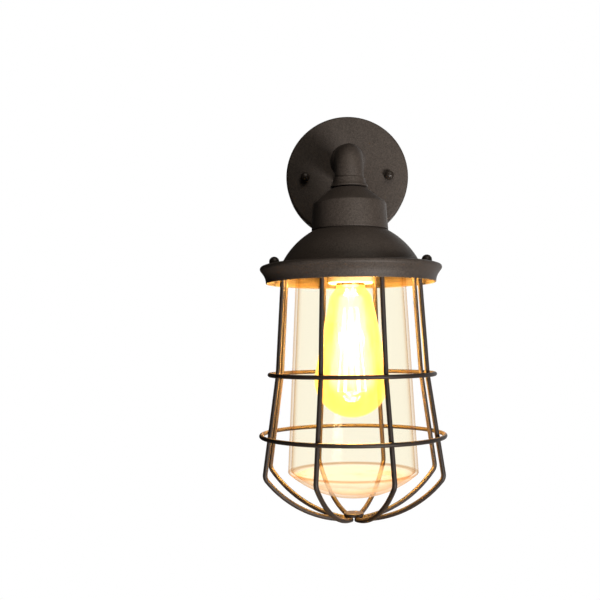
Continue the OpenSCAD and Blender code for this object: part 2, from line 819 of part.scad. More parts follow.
module glass_shade() {
    r_top = jar_top_d / 2;
    z_top = z_lip_under + jar_lip_t;
    outside = jar_bottom(0);
    lip = rounded(
        [
            [r_top - jar_wall, z_top],
            [jar_lip_d / 2, z_top],
            [jar_lip_d / 2, z_lip_under],
            [r_top, z_lip_under],
            outside[0],
            outside[1]
        ],
        [0, 1, 1, 1.5, jar_crease_r, 0]
    );
    color(clear) on_lamp() rotate_extrude() polygon(concat(
        reversed(jar_bottom(jar_wall)),
        lip,
        [for (i = [2 : len(outside) - 1]) outside[i]]
    ));
}

// Bulb

contact_t = 1.2;
contact_r = 4.7;
insulator_r = 10;
insulator_t = 3.8;
cap_t = 0.4;
neck_overlap = 9;
z_cap_end = z_bulb_top - cap_length;
z_insulator = z_bulb_top - contact_t;
z_cap_top = z_insulator - insulator_t;
bulb_r = bulb_d / 2;
z_bulb_ball = z_bulb_bottom + bulb_r;

// Outline of the bulb's glass at an inset from its outer face, from the neck to the tip
function bulb_outline(inset) =
    let (
        ball = bulb_r - inset,
        neck = bulb_neck_d / 2 - inset,
        tangent = [ball * cos(flank_angle), z_bulb_ball + ball * sin(flank_angle)],
        z_shoulder = z_cap_end - neck_overlap,
        shoulder = [tangent.x - (z_shoulder - tangent.y) * tan(flank_angle), z_shoulder],
        z_neck = z_cap_end - 2
    )
    concat(
        rounded([[neck, z_cap_end + neck_overlap], [neck, z_neck], shoulder, tangent], [0, 3, 12, 0]),
        arc([0, z_bulb_ball], ball, flank_angle - arc_step, -84),
        [[0, z_bulb_ball - ball]]
    );

module bulb_contact() {
    color(steel) on_lamp() rod(contact_r, z_insulator, z_bulb_top);
}

module bulb_insulator() {
    color("#22201e") on_lamp() rotate_extrude()
        polygon([
            [0, z_insulator],
            [contact_r + contact_t / 2, z_insulator],
            [insulator_r, z_cap_top],
            [0, z_cap_top]
        ]);
}

module bulb_cap() {
    path = [
        [insulator_r - 5 * cap_t, z_cap_top],
        [insulator_r + cap_t, z_cap_top],
        [cap_d / 2, z_cap_top - (cap_d / 2 - insulator_r)],
        [cap_d / 2, z_cap_end]
    ];
    color(brass) on_lamp() rotate_extrude() polygon(sheet(path, cap_t));
}

module bulb_glass() {
    color(amber) on_lamp() rotate_extrude()
        polygon(concat(bulb_outline(0), reversed(bulb_outline(bulb_wall))));
}

strand_clearance = 22;
z_strand_bottom = z_bulb_bottom + strand_clearance;
z_strand_top = z_strand_bottom + strand_length;
stem_r = 2;
hook_turn = 360 / hook_count;

// A point on a circle round the lamp's axis
function around(r, angle, z) = [r * cos(angle), r * sin(angle), z];

// A straight wire between two points in space
module link(p, q, r) {
    run = q - p;
    translate(p) rotate([0, acos(run.z / norm(run)), atan2(run.y, run.x)]) cylinder(r = r, h = norm(run));
}

module bulb_stem() {
    neck = bulb_neck_d / 2 - bulb_wall - seat_gap;
    z_flare = z_cap_end + neck_overlap - 1;
    z_end = z_strand_bottom - stem_r;
    color(clear) on_lamp() rotate_extrude() polygon([
        [0, z_flare],
        [neck, z_flare],
        [neck, z_flare - 1],
        [2 * stem_r, z_flare - neck_overlap + 1],
        [stem_r, z_strand_top + 2 * stem_r],
        [stem_r, z_end],
        [0, z_end]
    ]);
}

module bulb_wires() {
    root = stem_r - strand_d / 2;
    r = strand_d / 3;
    color(steel) on_lamp() for (i = [0 : hook_count - 1]) {
        low = i * hook_turn;
        high = (i + 0.5) * hook_turn;
        link(around(root, low, z_strand_bottom), around(strand_bottom_r, low, z_strand_bottom), r);
        link(around(root, high, z_strand_top), around(strand_top_r, high, z_strand_top), r);
    }
}

// The strands run up and down between the hooks and pass each hook on both sides
module bulb_filaments() {
    low_step = asin(strand_d * 0.75 / strand_bottom_r);
    high_step = asin(strand_d * 0.75 / strand_top_r);
    color(glow) on_lamp() for (i = [0 : hook_count - 1], side = [-1, 1]) {
        low = i * hook_turn + side * low_step;
        high = (i + side * 0.5) * hook_turn - side * high_step;
        if (i > 0 || side > 0)
            link(
                around(strand_bottom_r, low, z_strand_bottom),
                around(strand_top_r, high, z_strand_top),
                strand_d / 2
            );
    }
}

wall_gasket();
mounting_bracket();
bracket_studs();
stud_locknuts();
ground_screw();
canopy();
canopy_nuts();
arm_pipe();
arm_lockwasher();
arm_locknut();
elbow();
neck_washer();
neck_nipple();
nipple_lockwasher();
nipple_locknut();
socket_cup();
hood();
hood_gasket();
socket_bracket();
socket_screws();
socket_body();
socket_shell();
socket_contact();
hood_washer(-hood_nut_x);  // hood_washer_left
hood_washer(hood_nut_x);  // hood_washer_right
hood_nut(-hood_nut_x);  // hood_nut_left
hood_nut(hood_nut_x);  // hood_nut_right
cage_plate();
cage_studs();
cage_rib(1);  // cage_rib_1
cage_rib(2);  // cage_rib_2
cage_rib(3);  // cage_rib_3
cage_rib(4);  // cage_rib_4
cage_rib(5);  // cage_rib_5
cage_rib(6);  // cage_rib_6
cage_rib(7);  // cage_rib_7
cage_rib(8);  // cage_rib_8
cage_ring(z_upper_ring);  // upper_ring
cage_ring(z_lower_ring);  // lower_ring
bottom_disc();
glass_gasket();
glass_shade();
bulb_contact();
bulb_insulator();
bulb_cap();
bulb_glass();
bulb_stem();
bulb_wires();
bulb_filaments();
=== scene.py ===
import math

import bmesh
import bpy
from mathutils import Matrix, Vector


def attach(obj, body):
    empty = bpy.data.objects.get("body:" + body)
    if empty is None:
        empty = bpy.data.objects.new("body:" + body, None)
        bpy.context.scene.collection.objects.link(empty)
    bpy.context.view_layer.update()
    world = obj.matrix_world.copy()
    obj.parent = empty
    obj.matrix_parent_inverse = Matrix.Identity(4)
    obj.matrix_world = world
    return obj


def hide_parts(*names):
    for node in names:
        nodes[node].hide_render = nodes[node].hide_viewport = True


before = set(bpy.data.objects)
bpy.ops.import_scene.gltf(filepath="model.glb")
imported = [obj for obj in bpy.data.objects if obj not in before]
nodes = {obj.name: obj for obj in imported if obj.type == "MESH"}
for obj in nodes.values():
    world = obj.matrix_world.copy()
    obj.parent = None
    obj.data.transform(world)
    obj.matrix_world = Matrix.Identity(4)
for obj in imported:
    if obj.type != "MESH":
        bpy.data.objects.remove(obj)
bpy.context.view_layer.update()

# One millimetre in metres
MM = 0.001

# Sizes in millimetres, as in the part's source: _R is a radius, _T a thickness, _H a height, _AF a width
# across flats and _X a distance from the middle plane. The lamp's axis is upright and stands off the wall.
LAMP_Y = -117.0

# Backplate, its foam ring, studs and ball nuts
CANOPY_R = 60.0
CANOPY_DEPTH = 20.0
CANOPY_EDGE_R = 2.4
FOAM_T = 1.5
FOAM_W = 5.0
STUD_X = 41.25
STUD_R = 2.05
STUD_PITCH = 0.794
STUD_GRIP = 3.6
STUD_THREAD_DEPTH = 0.4
STUD_HOLE_R = 2.2
BALL_R = 4.5
BALL_FOOT = 3.2
BALL_BORE_SPARE = 0.5
BRACKET_T = 1.8
STUD_NUT_AF = 8.7
STUD_NUT_T = 3.2
HOOD_NUT_X = 65.7
WASHER_T = 0.8
WASHER_OVER = 0.3

# Arm and elbow
ARM_R = 10.65
ARM_THREAD_R = 8.0
ARM_BORE_R = 6.2
ARM_NUT_AF = 22.0
ARM_NUT_T = 4.0
ARM_WASHER_T = 1.2
ARM_SOCKET = 12.0
ELBOW_R = 12.6
ELBOW_CORE_R = 9.2
BEND_R = 14.5
ELBOW_REACH = 28.9
COLLAR_LENGTH = 7.4
COLLAR_RIDGE = 1.3
COLLAR_FACE_R = 16.4

# Threaded tube in the neck and its washers and nut
NECK_R = 6.5
NECK_BORE_R = 4.5
NECK_GRIP = 8.0
NECK_PITCH = 1.27
NECK_THREAD_DEPTH = 0.45
NECK_WASHER_T = 1.3
NECK_WASHER_R = 13.2
NECK_NUT_AF = 17.5
NECK_NUT_T = 4.0
LOCK_WASHER_T = 1.0
THREAD_STUB = 1.0

# Cup and hood
CUP_H = 36.3
CUP_TOP_R = 15.5
CUP_SHOULDER_H = 12.9
CUP_SHOULDER_R = 31.5
CUP_MOUTH_R = 33.1
SHEET_T = 1.2
DOME_H = 30.0
DOME_R = 60.0
DOME_CURVE_R = 66.0
DOME_FLAT_MARGIN = 6.0
RIM_H = 15.6
FLANGE_R = 73.9
BEAD_R = 79.5
BEAD_DROP = 1.9
SKIRT_R = 72.9
WAIST_DROP = RIM_H * 0.69
WAIST_OVER = 0.3
HOLE_CUT_ABOVE = 1.0

# Cage
RIB_R = 2.0
RING_R = 1.8
RIB_COUNT = 8
RIB_TOP_R = 61.1
RIB_RING_R = 66.7
RIB_FLANK_R = 79.0
UPPER_DROP = 93.4
LOWER_DROP = 145.1
CAGE_DROP = 217.8
BOWL_R = 99.5
RIB_BEND_R = 7.5
RIB_END_R = 5.4
KNEE_R = 30.0
WELD = 0.2
WELD_BEAD = (1.5, 0.9, 1.3)
WELD_BEAD_OFFSET = 1.1
WELD_BEAD_DEPTH = 0.3
DISC_R = 8.5
DISC_T = 3.0
PLATE_T = 1.5
PLATE_R = 70.0
PLATE_HOLE_R = 50.0
HOOD_GASKET_T = 1.0
HOOD_GASKET_W = 3.0

# Jar
JAR_TOP_R = 46.7
JAR_BOTTOM_R = 55.3
JAR_LENGTH = 177.7
JAR_BOTTOM_H = 21.0
JAR_WALL = 2.5
LIP_R = 54.0
LIP_T = 2.6
GLASS_GASKET_T = 0.8

# Lampholder
SOCKET_R = 19.5
SOCKET_H = 38.0
SOCKET_FLOOR = 10.0
SOCKET_BORE_R = 14.0
SOCKET_STEP = 2.0
SHELL_T = 0.4
SHELL_THREAD_DEPTH = 0.55
SHELL_ABOVE_MOUTH = 1.5
CONTACT_REACH = 2.4
STRAP_T = 1.5
STRAP_LEG_H = 9.4

# Bulb
BULB_R = 32.0
BULB_LENGTH = 140.0
CAP_LENGTH = 27.0
CAP_R = 13.2
CAP_T = 0.4
CAP_PITCH = 3.629
CAP_THREAD_DEPTH = 0.75
CAP_SHOULDER_H = 3.2
CONTACT_H = 1.2
INSULATOR_H = 3.8
BULB_NECK_R = 12.3
FLANK_ANGLE = 11.5
BULB_WALL = 0.8
NECK_OVERLAP = 9.0
HOOK_COUNT = 6
STRAND_R = 0.7
STRAND_LENGTH = 72.0
STRAND_TOP_R = 6.5
STRAND_BOTTOM_R = 12.0
STRAND_CLEARANCE = 22.0
STEM_R = 2.0
HOOK_R = 0.26
HOOK_ROOT = 0.4
STRAND_OFF_HOOK = 0.6

# Clearances
THREAD_GAP = 0.05
HOLE_GAP = 0.15
GAP = 0.1
LOOSE_GAP = 0.3
TOUCH_GAP = 0.05

# Heights along the lamp's axis, from the arm's axis down
Z_COLLAR = -ELBOW_REACH
Z_CUP_TOP = Z_COLLAR - NECK_WASHER_T
Z_CUP_MOUTH = Z_CUP_TOP - CUP_H
Z_FLANGE = Z_CUP_MOUTH - GAP - DOME_H
Z_SKIRT = Z_FLANGE - RIM_H
Z_FLANGE_UNDER = Z_FLANGE - SHEET_T
Z_PLATE = Z_FLANGE_UNDER - HOOD_GASKET_T
Z_PLATE_UNDER = Z_PLATE - PLATE_T
Z_UPPER = Z_FLANGE - UPPER_DROP
Z_LOWER = Z_FLANGE - LOWER_DROP
Z_WASHER = Z_FLANGE + WASHER_T
Z_LIP_UNDER = Z_PLATE + GLASS_GASKET_T
Z_LIP_TOP = Z_LIP_UNDER + LIP_T
Z_JAR_CORNER = Z_LIP_TOP - JAR_LENGTH


# Outlines: lists of (radius, height) points


def full_turn(count):
    """Angles that go once round in equal steps."""
    return [2 * math.pi * i / count for i in range(count)]


def circled(radius, angle, z):
    """A point on a circle round the height axis."""
    return (radius * math.cos(angle), radius * math.sin(angle), z)


def arc(centre, radius, start, end, step=3.0):
    """Points of an arc, with angles in degrees."""
    count = max(2, math.ceil(abs(end - start) / step))
    angles = [math.radians(start + (end - start) * i / count) for i in range(count + 1)]
    return [(centre[0] + radius * math.cos(a), centre[1] + radius * math.sin(a)) for a in angles]


def corner(before, tip, after, radius, step=6.0):
    """Points of the round that takes the place of a corner."""
    tip_v = Vector(tip)
    u = (Vector(before) - tip_v).normalized()
    v = (Vector(after) - tip_v).normalized()
    half = u.angle(v) / 2
    centre = tip_v + (u + v).normalized() * radius / math.sin(half)
    first = tip_v + u * radius / math.tan(half) - centre
    last = tip_v + v * radius / math.tan(half) - centre
    start = math.degrees(math.atan2(first.y, first.x))
    turn = (math.degrees(math.atan2(last.y, last.x)) - start + 540) % 360 - 180
    return arc(centre, radius, start, start + turn, step)


def rounded(path, radii):
    """The path with its corners rounded by these radii; 0 leaves a corner sharp."""
    out = []
    for i, radius in enumerate(radii):
        out += corner(path[i - 1], path[i], path[i + 1], radius) if radius else [path[i]]
    return out


def beside(path, thickness):
    """The path moved to its right-hand side by a sheet's thickness."""
    points = [Vector(p) for p in path]
    sides = []
    for p, q in zip(points, points[1:]):
        run = (q - p).normalized()
        sides.append(Vector((run.y, -run.x)))
    out = []
    for i, p in enumerate(points):
        both = sides[max(i - 1, 0)] + sides[min(i, len(sides) - 1)]
        out.append(tuple(p + both * 2 * thickness / both.dot(both)))
    return out


def sheet(path, thickness):
    """Closed outline of a sheet along the path, with its free edges rounded."""
    other = beside(path, thickness)
    first = free_edge(path[1], path[0], other[0], thickness)
    last = free_edge(path[-2], path[-1], other[-1], thickness)
    return path[1:-1] + last + other[-2:0:-1] + first[::-1]


def free_edge(before, tip, across, thickness):
    """Points that take a sheet round its free edge, from the path's side to the other."""
    back = (Vector(before) - Vector(tip)).normalized() * thickness
    p, q = Vector(tip), Vector(across)
    steps = ((0.0, 0.36), (0.1, 0.12), (0.3, 0.0), (0.7, 0.0), (0.9, 0.12), (1.0, 0.36))
    return [tuple(p.lerp(q, share) + back * depth) for share, depth in steps]


def held(outline, margin=0.35, least=2.2):
    """The outline with points near both ends of its long runs, which keeps their shading straight."""
    out = [outline[0]]
    for p, q in zip(outline, outline[1:]):
        run = Vector(q) - Vector(p)
        if run.length > least:
            share = margin / run.length
            out.append(tuple(Vector(p) + run * share))
            out.append(tuple(Vector(q) - run * share))
        out.append(q)
    return out


def washer_outline(outer, inner, low, high, edge=0.15):
    """Closed outline of a flat ring with slightly broken edges."""
    return [
        (inner, low + edge), (inner + edge, low), (outer - edge, low), (outer, low + edge),
        (outer, high - edge), (outer - edge, high), (inner + edge, high), (inner, high - edge),
    ]


def ball_nut_outline():
    """Domed nut on the plane z = 0 with a straight foot, a fine groove and a blind bore."""
    bore_r = STUD_R + THREAD_GAP
    bore_end = STUD_GRIP + BALL_BORE_SPARE
    foot = [
        (bore_r, 0.0), (BALL_R - 0.25, 0.0), (BALL_R, 0.25), (BALL_R, 0.95),
        (BALL_R - 0.2, 1.1), (BALL_R - 0.2, 1.25), (BALL_R - 0.02, 1.45),
    ]
    dome = arc((0.0, BALL_FOOT), BALL_R, 4, 90, 4.0)
    dome[-1] = (0.0, BALL_FOOT + BALL_R)
    return [(0.0, bore_end), (bore_r, bore_end)] + foot + dome


def rod_outline(radius, low, high, edge=0.0):
    """Outline of a solid rod, with broken edges if edge isn't 0."""
    if not edge:
        return [(0.0, low), (radius, low), (radius, high), (0.0, high)]
    return [
        (0.0, low), (radius - edge, low), (radius, low + edge),
        (radius, high - edge), (radius - edge, high), (0.0, high),
    ]


# Places: each turns a shape's own axes, with its height last, into the part's frame


def on_lamp(x, y, z):
    return (x, LAMP_Y + y, z)


def from_wall(x, y, z):
    return (x, -z, y)


def beside_lamp(offset):
    return lambda x, y, z: (x + offset, LAMP_Y + y, z)


def beside_arm(offset):
    return lambda x, y, z: (x + offset, -z, y)


# Shapes: rings of points in millimetres that become one closed mesh


class Shape:
    """Points and faces of one or more closed shells."""

    def __init__(self):
        self.points = []
        self.faces = []

    def skin(self, rings, place=on_lamp, loop=False):
        """Joins rings of points one after the other. A ring of one point is a pole."""
        starts = []
        for ring in rings:
            starts.append((len(self.points), len(ring)))
            self.points += [place(*p) for p in ring]
        pairs = list(zip(starts, starts[1:]))
        if loop:
            pairs.append((starts[-1], starts[0]))
        for (a, a_count), (b, b_count) in pairs:
            count = max(a_count, b_count)
            for i in range(count):
                j = (i + 1) % count
                if a_count == 1:
                    self.faces.append((a, b + i, b + j))
                elif b_count == 1:
                    self.faces.append((a + i, b, a + j))
                else:
                    self.faces.append((a + i, b + i, b + j, a + j))
        return self

    def lathe(self, outline, segments=128, place=on_lamp):
        """Turns a closed outline of (radius, height) points about the height axis."""
        rings = []
        for r, z in held(outline):
            on_axis = r < 1e-6
            rings.append([(0.0, 0.0, z)] if on_axis else [circled(r, t, z) for t in full_turn(segments)])
        poles = len(rings[0]) == 1 and len(rings[-1]) == 1
        return self.skin(rings, place, loop=not poles)

    def thread(self, radius, depth, pitch, low, high, place=on_lamp, bore=0.0, wall=0.0, segments=24):
        """A helical thread between two heights. bore makes it a tube and wall a pressed shell."""
        rows_per_pitch = 6
        rows = max(4, round((high - low) / pitch * rows_per_pitch))
        heights = [low + (high - low) * i / rows for i in range(rows + 1)]
        turns = full_turn(segments)

        def ring(z, inset):
            fade = min(1.0, (z - low) / pitch, (high - z) / pitch)
            out = []
            for t in turns:
                wave = 0.5 - 0.5 * math.cos(2 * math.pi * z / pitch - t)
                out.append(circled(radius - inset - depth * (1 - fade * wave), t, z))
            return out

        rings = [ring(z, 0.0) for z in heights]
        if wall:
            inner = [ring(z, wall) for z in heights[::-1]]
            return self.skin(rings + inner, place, loop=True)
        if bore:
            inner = [[circled(bore, t, z) for t in turns] for z in (high, low)]
            return self.skin(rings + inner, place, loop=True)
        return self.skin([[(0.0, 0.0, low)]] + rings + [[(0.0, 0.0, high)]], place)

    def hex_nut(self, across_flats, bore, low, high, place=on_lamp, segments=72):
        """A hexagon nut with chamfered corners."""
        flat = across_flats / 2
        face = flat * 0.97
        rings = [[], [], [], [], [], []]
        for t in full_turn(segments):
            from_flat = (t + math.pi / 6) % (math.pi / 3) - math.pi / 6
            r = flat / math.cos(from_flat)
            drop = (r - face) * math.tan(math.radians(30))
            around = ((face, low), (r, low + drop), (r, high - drop), (face, high), (bore, high), (bore, low))
            for ring, (ring_r, z) in zip(rings, around):
                ring.append(circled(ring_r, t, z))
        return self.skin(rings, place, loop=True)

    def tube(self, path, radius, segments, chamfer=0.2, closed=False):
        """A round wire along a path of points in space. radius may be a list."""
        points = [Vector(p) for p in path]
        last = len(points) - 1
        radii = radius if isinstance(radius, list) else [radius] * len(points)
        side = None
        rings = []
        for i, p in enumerate(points):
            if closed:
                run = (points[(i + 1) % len(points)] - points[i - 1]).normalized()
            else:
                run = (points[min(i + 1, last)] - points[max(i - 1, 0)]).normalized()
            if side is None:
                side = run.orthogonal().normalized()
            side = (side - run * side.dot(run)).normalized()
            across = run.cross(side)

            def around(middle, r):
                spokes = [side * math.cos(t) + across * math.sin(t) for t in full_turn(segments)]
                return [tuple(middle + spoke * r) for spoke in spokes]

            cut = chamfer * radii[i]
            if not closed and i == 0:
                rings += [[tuple(p)], around(p, radii[i] - cut), around(p + run * cut, radii[i])]
            elif not closed and i == last:
                rings += [around(p - run * cut, radii[i]), around(p, radii[i] - cut), [tuple(p)]]
            else:
                rings.append(around(p, radii[i]))
        return self.skin(rings, loop=closed)

    def bead(self, centre, along, radial, sizes, segments=14):
        """A small egg-shaped weld bead: sizes are its half lengths along, radially and crosswise."""
        u = Vector(along).normalized()
        v = Vector(radial).normalized()
        w = u.cross(v)
        half = segments // 2
        rings = []
        for k in range(half + 1):
            a = math.pi * k / half
            middle = Vector(centre) + u * sizes[0] * math.cos(a)
            if k in (0, half):
                rings.append([tuple(middle)])
                continue
            spokes = [v * sizes[1] * math.cos(t) + w * sizes[2] * math.sin(t) for t in full_turn(segments)]
            rings.append([tuple(middle + spoke * math.sin(a)) for spoke in spokes])
        return self.skin(rings)


def closed_mesh(name, shape):
    """The mesh of a shape, in metres, with its faces turned outwards."""
    mesh = bpy.data.meshes.new(name)
    mesh.from_pydata([tuple(c * MM for c in p) for p in shape.points], [], shape.faces)
    work = bmesh.new()
    work.from_mesh(mesh)
    bmesh.ops.recalc_face_normals(work, faces=work.faces)
    work.to_mesh(mesh)
    work.free()
    return mesh


def put(name, data):
    """Puts a new object with this mesh, lamp or camera into the scene."""
    obj = bpy.data.objects.new(name, data)
    bpy.context.scene.collection.objects.link(obj)
    return obj


def piece(name, shape, finish, body, node):
    """Makes the mesh object of a shape, which rides on a body and stands for a CAD node."""
    mesh = closed_mesh(name, shape)
    mesh.shade_smooth()
    mesh.set_sharp_from_angle(angle=math.radians(38.0))
    mesh.materials.append(finish)
    obj = put(name, mesh)
    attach(obj, body)
    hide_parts(node)
    return obj


def drill(obj, *cutters):
    """Cuts closed shapes out of a piece."""
    for cutter in cutters:
        tool = put("cutter", closed_mesh("cutter", cutter))
        modifier = obj.modifiers.new("hole", "BOOLEAN")
        modifier.operation = "DIFFERENCE"
        modifier.solver = "EXACT"
        modifier.object = tool
        bpy.context.view_layer.update()
        evaluated = obj.evaluated_get(bpy.context.evaluated_depsgraph_get())
        cut = bpy.data.meshes.new_from_object(evaluated)
        obj.modifiers.clear()
        obj.data = cut
        bpy.data.objects.remove(tool)
    obj.data.set_sharp_from_angle(angle=math.radians(30.0))


# Finishes: node trees in a maker's plain words


class Socket:
    """A shader socket that takes part in Python expressions: each operator adds its Math node."""

    def __init__(self, tree, socket):
        self.tree = tree
        self.socket = socket

    def maths(self, operation, *values):
        return self.tree.add("ShaderNodeMath", {"operation": operation}, dict(enumerate(values)))

    def __add__(self, other):
        return self.maths("ADD", self, other)

    def __radd__(self, other):
        return self.maths("ADD", other, self)

    def __sub__(self, other):
        return self.maths("SUBTRACT", self, other)

    def __rsub__(self, other):
        return self.maths("SUBTRACT", other, self)

    def __mul__(self, other):
        return self.maths("MULTIPLY", self, other)

    def __rmul__(self, other):
        return self.maths("MULTIPLY", other, self)

    def __truediv__(self, other):
        return self.maths("DIVIDE", self, other)

    def __pow__(self, other):
        return self.maths("POWER", self, other)

    def clamp(self):
        return self.tree.add("ShaderNodeClamp", {}, {"Value": self})

    def above(self, low, high):
        """0 below low, 1 above high, and smooth between."""
        settings = {"interpolation_type": "SMOOTHSTEP"}
        inputs = {"Value": self, "From Min": low, "From Max": high}
        return self.tree.add("ShaderNodeMapRange", settings, inputs)


class Tree:
    """The nodes of one finish or of the world."""

    def __init__(self, owner):
        owner.use_nodes = True
        self.tree = owner.node_tree
        self.tree.nodes.clear()

    def add(self, kind, settings=None, inputs=None, output=None):
        """One node: its settings first, then its inputs by name or number. Gives one of its outputs."""
        node = self.tree.nodes.new(kind)
        for name, value in (settings or {}).items():
            setattr(node, name, value)
        for name, value in (inputs or {}).items():
            if isinstance(value, Socket):
                self.tree.links.new(value.socket, node.inputs[name])
            else:
                node.inputs[name].default_value = value
        found = [s for s in node.outputs if s.enabled]
        return Socket(self, node.outputs[output] if output else found[0]) if found else None

    def blend(self, share, first, second):
        """A colour between two others."""
        settings = {"data_type": "RGBA"}
        return self.add("ShaderNodeMix", settings, {0: share, 6: first, 7: second}, output=2)

    def place(self):
        """The point on the object, in metres."""
        return self.add("ShaderNodeTexCoord", output="Object")

    def noise(self, scale, detail=2.0, roughness=0.5, stretch=None):
        where = self.place()
        if stretch:
            where = self.add("ShaderNodeMapping", {}, {"Vector": where, "Scale": stretch})
        inputs = {"Vector": where, "Scale": scale, "Detail": detail, "Roughness": roughness}
        return self.add("ShaderNodeTexNoise", {}, inputs, output="Fac")

    def cells(self, scale):
        """Distance from the middle of round cells."""
        inputs = {"Vector": self.place(), "Scale": scale}
        return self.add("ShaderNodeTexVoronoi", {}, inputs, output="Distance")

    def part(self, vector, axis):
        return self.add("ShaderNodeSeparateXYZ", {}, {"Vector": vector}, output=axis)

    def height(self):
        """The height on the object, in millimetres."""
        return self.part(self.place(), "Z") / MM

    def bump(self, height, distance, strength=1.0):
        inputs = {"Height": height, "Distance": distance, "Strength": strength}
        return self.add("ShaderNodeBump", {}, inputs)

    def slant(self):
        """0 where a surface faces the eye and 1 where it is edge on."""
        return self.add("ShaderNodeLayerWeight", {}, {"Blend": 0.5}, output="Facing")

    def mix_shaders(self, share, first, second):
        return self.add("ShaderNodeMixShader", {}, {0: share, 1: first, 2: second})

    def principled(self, **inputs):
        named = {name.replace("_", " "): value for name, value in inputs.items()}
        return self.add("ShaderNodeBsdfPrincipled", {}, named)

    def clear(self, colour):
        """Lets what is behind show through, tinted by the colour."""
        return self.add("ShaderNodeBsdfTransparent", {}, {"Color": colour})

    def end(self, surface, kind="ShaderNodeOutputMaterial"):
        self.add(kind, {}, {"Surface": surface})


def finish(name):
    """A new material and its tree of nodes."""
    material = bpy.data.materials.new(name)
    return material, Tree(material)


def grey(value):
    return (value, value, value, 1.0)


def bronze_coat(name, dark, light, roughness=0.38, relief=0.7):
    """Dark bronze powder coat with a fine sandy grain."""
    material, t = finish(name)
    sand = t.noise(720.0, 3.0, 0.75)
    grain = t.noise(1500.0, 2.0, 0.6)
    cloud = t.noise(24.0, 3.0)
    speckle = sand * 1.5 + grain * 0.9 - 1.2
    surface = t.principled(
        Base_Color=t.blend((cloud * 0.5 + speckle + 0.25).clamp(), dark, light),
        Roughness=(roughness + sand * 0.30).clamp(),
        Specular_IOR_Level=0.42,
        Normal=t.bump(sand * 0.6 + grain * 0.4, 0.0006, relief),
    )
    t.end(surface)
    return material


def plated(name, dark, light, scale, roughness):
    """Plated or bare metal with a fine grain and duller patches."""
    material, t = finish(name)
    patch = t.noise(60.0, 3.0)
    grain = t.noise(scale, 3.0, 0.6)
    surface = t.principled(
        Base_Color=t.blend((patch * 0.8 + grain * 0.3 - 0.1).clamp(), dark, light),
        Metallic=1.0,
        Roughness=(roughness + (grain - 0.5) * 0.25 + (patch - 0.5) * 0.15).clamp(),
        Normal=t.bump(grain, 0.00005, 0.4),
    )
    t.end(surface)
    return material


def soft(name, dark, light, scale, roughness, depth):
    """Rubber, foam or silicone with small pores."""
    material, t = finish(name)
    pores = t.cells(scale)
    patch = t.noise(scale * 0.15, 2.0)
    surface = t.principled(
        Base_Color=t.blend((pores + patch * 0.5 - 0.2).clamp(), dark, light),
        Roughness=(roughness + pores * 0.15).clamp(),
        Specular_IOR_Level=0.3,
        Normal=t.bump(pores, depth, 0.6),
    )
    t.end(surface)
    return material


def glazed_porcelain():
    material, t = finish("glazed_porcelain")
    wave = t.noise(45.0, 2.0)
    specks = t.noise(900.0, 2.0).above(0.68, 0.74)
    colour = t.blend(wave, (0.80, 0.77, 0.70, 1.0), (0.86, 0.84, 0.79, 1.0))
    surface = t.principled(
        Base_Color=t.blend(specks * 0.5, colour, (0.52, 0.47, 0.40, 1.0)),
        Roughness=(0.18 + wave * 0.12).clamp(),
        Coat_Weight=0.8,
        Coat_Roughness=0.08,
        Normal=t.bump(wave, 0.0004, 0.25),
    )
    t.end(surface)
    return material


def black_glass():
    material, t = finish("black_glass")
    wave = t.noise(300.0, 2.0)
    surface = t.principled(
        Base_Color=t.blend(wave, (0.012, 0.012, 0.013, 1.0), (0.03, 0.028, 0.03, 1.0)),
        Roughness=(0.08 + wave * 0.1).clamp(),
        Normal=t.bump(wave, 0.0001, 0.3),
    )
    t.end(surface)
    return material


def jar_glass():
    """Clear glass that looks warm brown edge on, with a painted dark brown shade along its crease and a
    painted warm glow, streaked, in its bowl.
    """
    material, t = finish("jar_glass")
    wave = t.noise(35.0, 2.0)
    # Painted shade: a dark brown line along the crease at the jar's corner
    over_crease = t.height() - Z_JAR_CORNER
    crease = 1.0 - (over_crease * over_crease).above(0.1, 1.6)
    bowl = 1.0 - over_crease.above(-3.0, -0.6)
    # Painted glow: the bowl under the crease emits warm light in streaks, standing for the bulb's light seen
    # through the bottom
    swirl = t.noise(30.0, 3.0, 0.55, (0.6, 0.6, 5.0)).above(0.42, 0.7)
    painted_bowl_glow = t.principled(
        Base_Color=(0.10, 0.08, 0.06, 1.0),
        Roughness=0.3,
        Emission_Color=t.blend(swirl, (1.0, 0.90, 0.72, 1.0), (0.66, 0.33, 0.12, 1.0)),
        Emission_Strength=0.95,
    )
    gloss = t.principled(
        Base_Color=(0.95, 0.96, 0.96, 1.0),
        Roughness=(0.02 + wave * 0.03).clamp(),
        Normal=t.bump(wave, 0.0006, 0.15),
        Metallic=1.0,
    )
    slant = t.slant()
    flank = slant ** 7.0 * 0.75 + slant.above(0.62, 0.80) * 0.15
    edge = (flank + crease * 0.55 + bowl * 0.05).clamp()
    tinted = t.mix_shaders(edge, t.clear((1.0, 0.984, 0.928, 1.0)), t.clear((0.76, 0.50, 0.28, 1.0)))
    with_painted_bowl_glow = t.mix_shaders((bowl * (0.15 + swirl * 0.34)).clamp(), tinted, painted_bowl_glow)
    t.end(t.mix_shaders((slant ** 8.0 * 0.25 + 0.006).clamp(), with_painted_bowl_glow, gloss))
    return material


